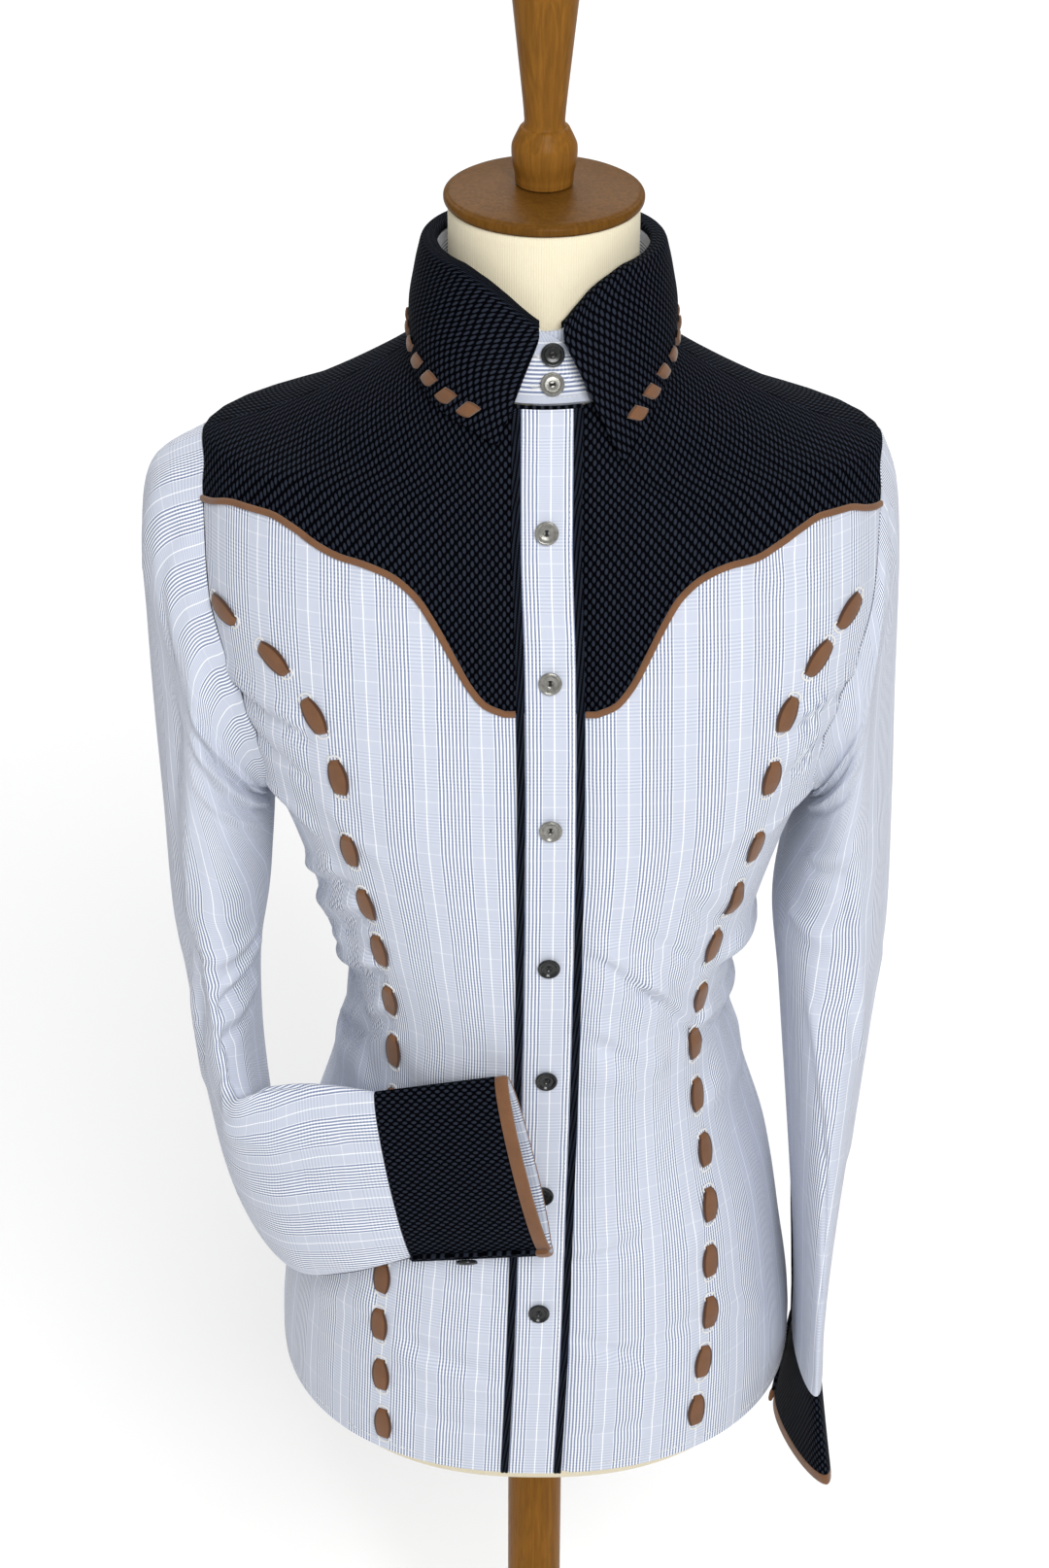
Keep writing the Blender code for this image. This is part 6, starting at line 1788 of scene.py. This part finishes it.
# the leaf isn't quite flat: it lifts a little between its tips and the shoulders
swell = sum(soft((around - middle) / SWELL_REACH, 1.0) for middle in SWELL_MIDDLES)
lift = SWELL * swell[None] * soft((places[:, None] - 5.5) / 1.6, 1.0)
normals = grid_normals(leaf)
leaf = leaf + normals * lift[..., None]
normals = grid_normals(leaf)
cloth("collar_cloth", leaf, COLLAR_THICK, open_uv(leaf), [DOBBY],
                               ["collar"], "black_dobby", 50.0, normals=normals)


# ---------------------------------------------------------------- buttons down the front
# these buttons get the copy painted with a bright reflection, the rest the dark one
REFLECTION_LIT_BUTTONS = (1, 2, 3)
for k, d in enumerate(PLACKET_BUTTONS):
    x = float(PLACKET_X(d))
    p, n = body(angle_at_x(np.array(x), np.array(d)), np.array(d),
                LAYER * 2 + PLACKET_THICK)
    surface = BUTTON_REFLECTION_LIT if k + 1 in REFLECTION_LIT_BUTTONS else BUTTON_REFLECTION_DARK
    button("button_%d_shell" % (k + 1), p, n, surface, "button_%d" % (k + 1), 90.0)
for k, d in enumerate(STAND_BUTTONS):
    a = angle_at_x(np.array(STAND_BUTTON_X), np.array(d))
    n = body_normal(a, np.array(d))
    p = base(a, np.array(d)) + n * (2 * LAYER)
    # the upper stand button gets the copy painted with a dark reflection, the lower the bright one
    button("stand_button_%d_shell" % (k + 1), p, n, (BUTTON_REFLECTION_DARK, BUTTON_REFLECTION_LIT)[k],
           "stand_button_%d" % (k + 1), 8.0)


# ---------------------------------------------------------------- laces
LACE_TAIL = 0.018  # of a front lace, past its first and last stitch
COLLAR_LACE_TAIL = 0.004  # left over at each end of a collar lace's reach
LACE_WIDE, LACE_DEEP = 0.0112, 0.0030  # its width, and how far it goes under the cloth
COLLAR_LACE_WIDE, COLLAR_LACE_DEEP = 0.0086, 0.0032
COLLAR_LACE_SLANT = 0.55  # how far the ends of its stitches lean
COLLAR_LACE_ENDS = 0.74  # how wide they are, as a share of its width
# the thread round a slit's end: half across, out past the end, and its own radius
SLIT_HALF, SLIT_REACH, SLIT_THREAD = 0.0038, 0.0026, 0.00058
PATH_STEP = 0.003  # over which a lace's direction is taken


class Path:
    """A line on a surface, by its length."""

    def __init__(self, points, normals):
        self.points, self.normals = points, normals
        self.lengths = run_lengths(points)
        self.length = self.lengths[-1]

    def at(self, s):
        """Points, directions and normals at some lengths."""
        ahead = between(s + PATH_STEP, self.lengths, self.points)
        behind = between(s - PATH_STEP, self.lengths, self.points)
        normals = between(s, self.lengths, self.normals)
        return between(s, self.lengths, self.points), unit(ahead - behind), unit(normals)


def lace_piece(name, path, begins, stitch, width, deep, surface, node, slant=0.0,
               end_share=0.34):
    """A flat lace that comes out of one slit and goes into the next, over and over."""
    s = np.arange(begins[0] - 0.004, begins[-1] + stitch + 0.004, 0.0008)
    high = np.full(len(s), -deep)
    half = np.full(len(s), 0.30 * width)
    crown = np.zeros(len(s))
    for begin_at in begins:
        t = (s - begin_at) / stitch
        on = (t > 0) & (t < 1)
        arch = np.sin(np.pi * np.clip(t, 0, 1))
        high = np.where(on, -0.0006 + 0.0022 * np.minimum(1, arch / 0.30) ** 0.7, high)
        half = np.where(on, 0.5 * width * (end_share + (1.02 - end_share) * arch ** 0.62), half)
        crown = np.where(on, 0.0008 * arch ** 0.5, crown)
    point, along, normal = path.at(s)
    across = unit(np.cross(along, normal))
    c = np.linspace(-1, 1, 11)
    side = half[:, None] * c[None]
    rise = high[:, None] + crown[:, None] * (1 - np.abs(c[None]) ** 2.4)
    points = (point[:, None] + across[:, None] * -side[..., None]
              + along[:, None] * (slant * side)[..., None] + normal[:, None] * rise[..., None])
    uv = np.stack(np.broadcast_arrays(s[:, None], side / (half[:, None] * 2 / width)), -1)
    facing = np.broadcast_to(normal[:, None], points.shape)
    if np.cross(points[1, 0] - points[0, 0], points[0, 1] - points[0, 0]).dot(normal[0]) < 0:
        points, uv = points[:, ::-1], uv[:, ::-1]
    return cloth(name, points, LACE_THICK * 0.9, uv, [surface], [node], "brown_suede", 50.0,
                 normals=facing)


def slit_stitching(mesher, path, ends, half, reach, radius):
    """Thread worked round each slit. ends are (length, way) pairs, way 1 or -1."""
    for s, way in ends:
        point, along, normal = path.at(np.array([s]))
        point, along, normal = point[0], along[0] * way, normal[0]
        across = unit(np.cross(along, normal))
        phi = np.radians(np.linspace(-118, 118, 34))
        centre = (point + across * (half * np.sin(phi))[:, None]
                  + along * (reach * np.cos(phi) - 0.0006)[:, None] + normal * 0.00035)
        wrap = radius * (1 + 0.20 * np.sin(np.arange(34) * 2.6))
        tube(mesher, centre, np.tile(normal, (34, 1)), wrap, wrap * 0.75, 6)


for side, word, table in ((1, "left", LEFT_PATCHES), (-1, "right", RIGHT_PATCHES)):
    middles = np.array([row[0] for row in table])
    d = np.linspace(middles[0] - LACE_TAIL, middles[-1] + LACE_TAIL, 900)
    across = Curve(table, PATCH_COLUMNS, "drop", "x")
    first = (across(middles[0] + 0.004) - across(middles[0])) / 0.004
    x = across(d) + first * np.minimum(0, d - middles[0])
    x = np.minimum(x, BODY["half"](d) * 0.97)
    points, normals = body(side * angle_at_x(x, d), d)
    path = Path(points, normals)
    begins = [float(np.interp(m, d, path.lengths)) - LACE_STITCH / 2 for m in middles]
    lace_piece(
        "lace_front_%s_strip" % word, path, begins, LACE_STITCH, LACE_WIDE, LACE_DEEP,
        SUEDE_LACE, "lace_front_" + word)
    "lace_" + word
    mesher = Mesher()
    ends = [(b, -1) for b in begins] + [(b + LACE_STITCH, 1) for b in begins]
    slit_stitching(mesher, path, ends, SLIT_HALF, SLIT_REACH, SLIT_THREAD)
    finish_piece(mesher.make("slit_stitching_%s" % word, [WHITE_THREAD], 60.0))

lengths = np.linalg.norm(np.diff(leaf, axis=0), axis=-1)
from_edge = np.concatenate([np.cumsum(lengths[::-1], axis=0)[::-1],
                            np.zeros((1, leaf.shape[1]))])
line, facing = [], []
for k in range(leaf.shape[1]):
    order = np.argsort(from_edge[:, k])
    line.append([np.interp(COLLAR_LACE_INSET, from_edge[order, k], leaf[order, k, c])
                 for c in range(3)])
    facing.append([np.interp(COLLAR_LACE_INSET, from_edge[order, k], normals_k)
                   for normals_k in grid_normals(leaf)[order, k].T])
path = Path(np.array(line), unit(np.array(facing)))
reach = COLLAR_LACE_STITCHES * COLLAR_LACE_PITCH
pitch = (reach - COLLAR_LACE_STITCH - 2 * COLLAR_LACE_TAIL) / (COLLAR_LACE_STITCHES - 1)
for word, begin_at, slant in (
    ("left", COLLAR_LACE_START, -COLLAR_LACE_SLANT),
    ("right", path.length - COLLAR_LACE_START - reach, COLLAR_LACE_SLANT),
):
    begins = [begin_at + COLLAR_LACE_TAIL + k * pitch for k in range(COLLAR_LACE_STITCHES)]
    lace_piece(
        "lace_collar_%s_strip" % word, path, begins, COLLAR_LACE_STITCH,
        COLLAR_LACE_WIDE, COLLAR_LACE_DEEP, SUEDE_LACE_SMALL, "lace_collar_" + word, slant,
        COLLAR_LACE_ENDS)
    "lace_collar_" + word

# ---------------------------------------------------------------- sewing
SEWN_IN = 0.0016  # of the placket's rows of stitches from its edges
HEM_SEWN_UP = 0.0055  # of the hem's row from its edge
STITCH_PITCH, STITCH_LENGTH = 0.0030, 0.0021
HOLE_POINTS = 24  # along one side of a buttonhole's sewing

mesher = Mesher()
for sign in (-1, 1):
    d = np.linspace(NECK_SEAM_FRONT + 0.004, HEM_FRONT - 0.003, 500)
    x = PLACKET_X(d) + sign * (PLACKET_WIDTH / 2 - SEWN_IN)
    stitches(mesher, body(angle_at_x(x, d), d, LAYER + PLACKET_THICK), STITCH_PITCH,
             STITCH_LENGTH)
for low, high in ((9.0, 91.0), (-91.0, -9.0), (91.0, 269.0)):
    a = np.linspace(low + 0.5, high - 0.5, 400)
    stitches(mesher, body(a, hem(a) - HEM_SEWN_UP), STITCH_PITCH, STITCH_LENGTH)
degree = np.linspace(361, 378, 60)
d = neck_seam(degree) - STAND_GAP - 0.0022
stitches(mesher, (base(degree, d), body_normal(degree, d)), 0.0026, 0.0018)
finish_piece(mesher.make("sewing_white", [WHITE_THREAD], 60.0))

mesher = Mesher()
for k, d in enumerate(STAND_BUTTONS):
    x = STAND_BUTTON_X - np.linspace(0.0052, 0.0105, HOLE_POINTS)
    for shift in (-0.0005, 0.0005):
        dd = np.full(HOLE_POINTS, d + shift) - (x - STAND_BUTTON_X) * 0.12
        a = angle_at_x(x, dd)
        n = body_normal(a, dd)
        wobble = 0.00038 * (1 + 0.2 * np.sin(np.arange(HOLE_POINTS) * 2.4))
        tube(mesher, base(a, dd) + n * 0.0003, n, wobble, wobble * 0.8, 6)
finish_piece(mesher.make("stand_buttonholes", [WHITE_THREAD], 60.0))

# ---------------------------------------------------------------- the form
PLATE = Curve(PLATE_SECTIONS, PLATE_COLUMNS, "drop", "half")
DRAWN_IN = Curve(BOTTOM_SECTIONS, BOTTOM_COLUMNS, "drop", "inset")
SLIMMER = Curve(FORM_RINGS, FORM_RING_COLUMNS, "drop", "slimmer")
drops = np.concatenate([np.arange(0.0012, 0.735, 0.004), np.linspace(0.735, 0.7695, 22)])
sides = 180
turn = 360.0 * np.arange(sides) / sides - 180.0
clear = FORM_CLEARANCE + CLOTH + SLIMMER(drops)
half = BODY["half"](drops) - clear
plated = (drops >= PLATE_SECTIONS[0][0]) & (drops < PLATE_SECTIONS[-1][0])
half = np.where(plated, np.minimum(half, PLATE(drops)), half)
inset = DRAWN_IN(drops)
a = np.radians(turn)[None]
front = np.cos(a) >= -1e-12
d = drops[:, None]
power = 2 / np.where(front, BODY["square_front"](d), BODY["square_back"](d))
deep = np.where(front, BODY["front"](d), BODY["back"](d)) - clear[:, None] - inset[:, None]
points = np.stack(np.broadcast_arrays(
    (half - inset)[:, None] * signed_power(np.sin(a), power),
    -deep * signed_power(np.cos(a), power), NECK_TOP - d), axis=-1)
edge_ring = points[0] * [0.982, 0.982, 1.0]
edge_ring[:, 2] = NECK_TOP
points = np.concatenate([edge_ring[None], points])
uv = around_uv(points)[:, :-1]
mesher = Mesher()
faces = quads(len(points), sides, True)[0].tolist()
faces.append(list(range(sides)))
faces.append([(len(points) - 1) * sides + k for k in range(sides)][::-1])
mesher.add(points.reshape(-1, 3), faces, uv.reshape(-1, 2))
finish_piece(mesher.make("form_torso_cover", [LINEN_COVER], 50.0), ["form_torso"])

lathe("form_neck_cap_wood", CAP_PROFILE, NECK_TOP + SEAM, 128, STAINED_SHADED,
      ["form_neck_cap"], 3)
lathe("form_finial_wood", FINIAL_PROFILE, NECK_TOP + SEAM, 96, STAINED, ["form_finial"],
      6)
pole = NECK_TOP - BOTTOM_SECTIONS[-1][0] - SEAM - BASE_THICK  # its length
POLE_PROFILE = (
    (0.0, 0.0), (POLE_RADIUS * 0.9, 0.0), (POLE_RADIUS, 0.001), (POLE_RADIUS, 0.02),
    (POLE_RADIUS, pole / 2), (POLE_RADIUS, pole - 0.02), (POLE_RADIUS, pole - 0.001),
    (POLE_RADIUS * 0.9, pole), (0.0, pole),
)
lathe("form_pole_wood", POLE_PROFILE, BASE_THICK, 72, STAINED, ["form_pole"], 4)
BASE_PROFILE = (
    (0.0, 0.0), (BASE_RADIUS - 0.003, 0.0), (BASE_RADIUS - 0.0006, 0.0008),
    (BASE_RADIUS, 0.003), (BASE_RADIUS, 0.009), (BASE_RADIUS - 0.0010, 0.0125),
    (BASE_RADIUS - 0.0035, 0.0160), (BASE_RADIUS - 0.009, 0.0184), (0.100, 0.0218),
    (0.045, BASE_THICK - SEAM - 0.0003), (0.030, BASE_THICK - SEAM), (0.0, BASE_THICK - SEAM),
)
lathe("form_base_wood", BASE_PROFILE, 0.0, 160, STAINED, ["form_base"], 4)

# ---------------------------------------------------------------- floor, light, camera
FLOOR_LEVEL = -0.0004  # just under the base, so the two never share a plane
FLOOR_HALF, FLOOR_NEAR, FLOOR_FAR = 9, -6, 12  # to the sides, the camera and the back
LAMP_COLUMNS = ("name", "place", "target", "size", "power")
LAMPS = (
    ("key", (0.55, -2.5, 2.75), (0.0, 0.0, 0.85), 1.3, 78.0),
    ("floor_wash", (0.0, 4.6, 3.6), (0.0, 4.6, 0.0), 5.0, 150.0),
    ("over", (0.0, 1.6, 3.2), (0.0, 0.0, 0.8), 2.4, 22.0),
)
WORLD_POWER = 0.46  # of the even white light from all round

mesher = Mesher()
mesher.add([(x, y, FLOOR_LEVEL) for x, y in (
    (-FLOOR_HALF, FLOOR_NEAR), (FLOOR_HALF, FLOOR_NEAR),
    (FLOOR_HALF, FLOOR_FAR), (-FLOOR_HALF, FLOOR_FAR))], [(0, 1, 2, 3)])
mesher.make("floor", [floor_material()])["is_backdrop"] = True


def lamp(name, place, target, size, power):
    """A square white area lamp that faces its target."""
    light = bpy.data.lights.new(name, "AREA")
    light.shape, light.size = "SQUARE", size
    light.energy, light.color = power, (1.0, 1.0, 1.0)
    made = bpy.data.objects.new(name, light)
    made.location = place
    made.rotation_euler = (Vector(target) - Vector(place)).to_track_quat("-Z", "Y").to_euler()
    bpy.context.scene.collection.objects.link(made)


for row in LAMPS:
    lamp(**dict(zip(LAMP_COLUMNS, row)))

world = bpy.data.worlds.new("studio")
world.use_nodes = True
world.node_tree.nodes["Background"].inputs[0].default_value = (1.0, 1.0, 1.0, 1.0)
world.node_tree.nodes["Background"].inputs[1].default_value = WORLD_POWER
bpy.context.scene.world = world
bpy.context.scene.view_settings.view_transform = "Standard"

CAMERA_BACK, CAMERA_UP = 1.58, 0.625  # from the form's axis, and above the neck's top
CAMERA_DOWN, CAMERA_ROLL = 31.6, 0.43  # degrees
IMAGE_WIDTH, IMAGE_HEIGHT = 1080, 1614
FOCAL_PIXELS = 3400.0
SENSOR = 36.0  # millimetres, down the image
AXIS_PIXEL = 555.7  # where the form's axis lies across the image
camera = bpy.data.cameras.new("camera")
camera.sensor_fit = "VERTICAL"
camera.sensor_height = SENSOR
camera.sensor_width = SENSOR * IMAGE_WIDTH / IMAGE_HEIGHT
camera.lens = FOCAL_PIXELS / IMAGE_HEIGHT * SENSOR
camera.shift_x = -(AXIS_PIXEL - IMAGE_WIDTH / 2) / IMAGE_HEIGHT
camera.clip_start, camera.clip_end = 0.05, 40.0
holder = bpy.data.objects.new("camera", camera)
holder.matrix_world = (
    Matrix.Translation((0.0, -CAMERA_BACK, NECK_TOP + CAMERA_UP))
    @ Matrix.Rotation(math.radians(90 - CAMERA_DOWN), 4, "X")
    @ Matrix.Rotation(math.radians(CAMERA_ROLL), 4, "Z")
)
bpy.context.scene.collection.objects.link(holder)
bpy.context.scene.camera = holder

low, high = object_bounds()
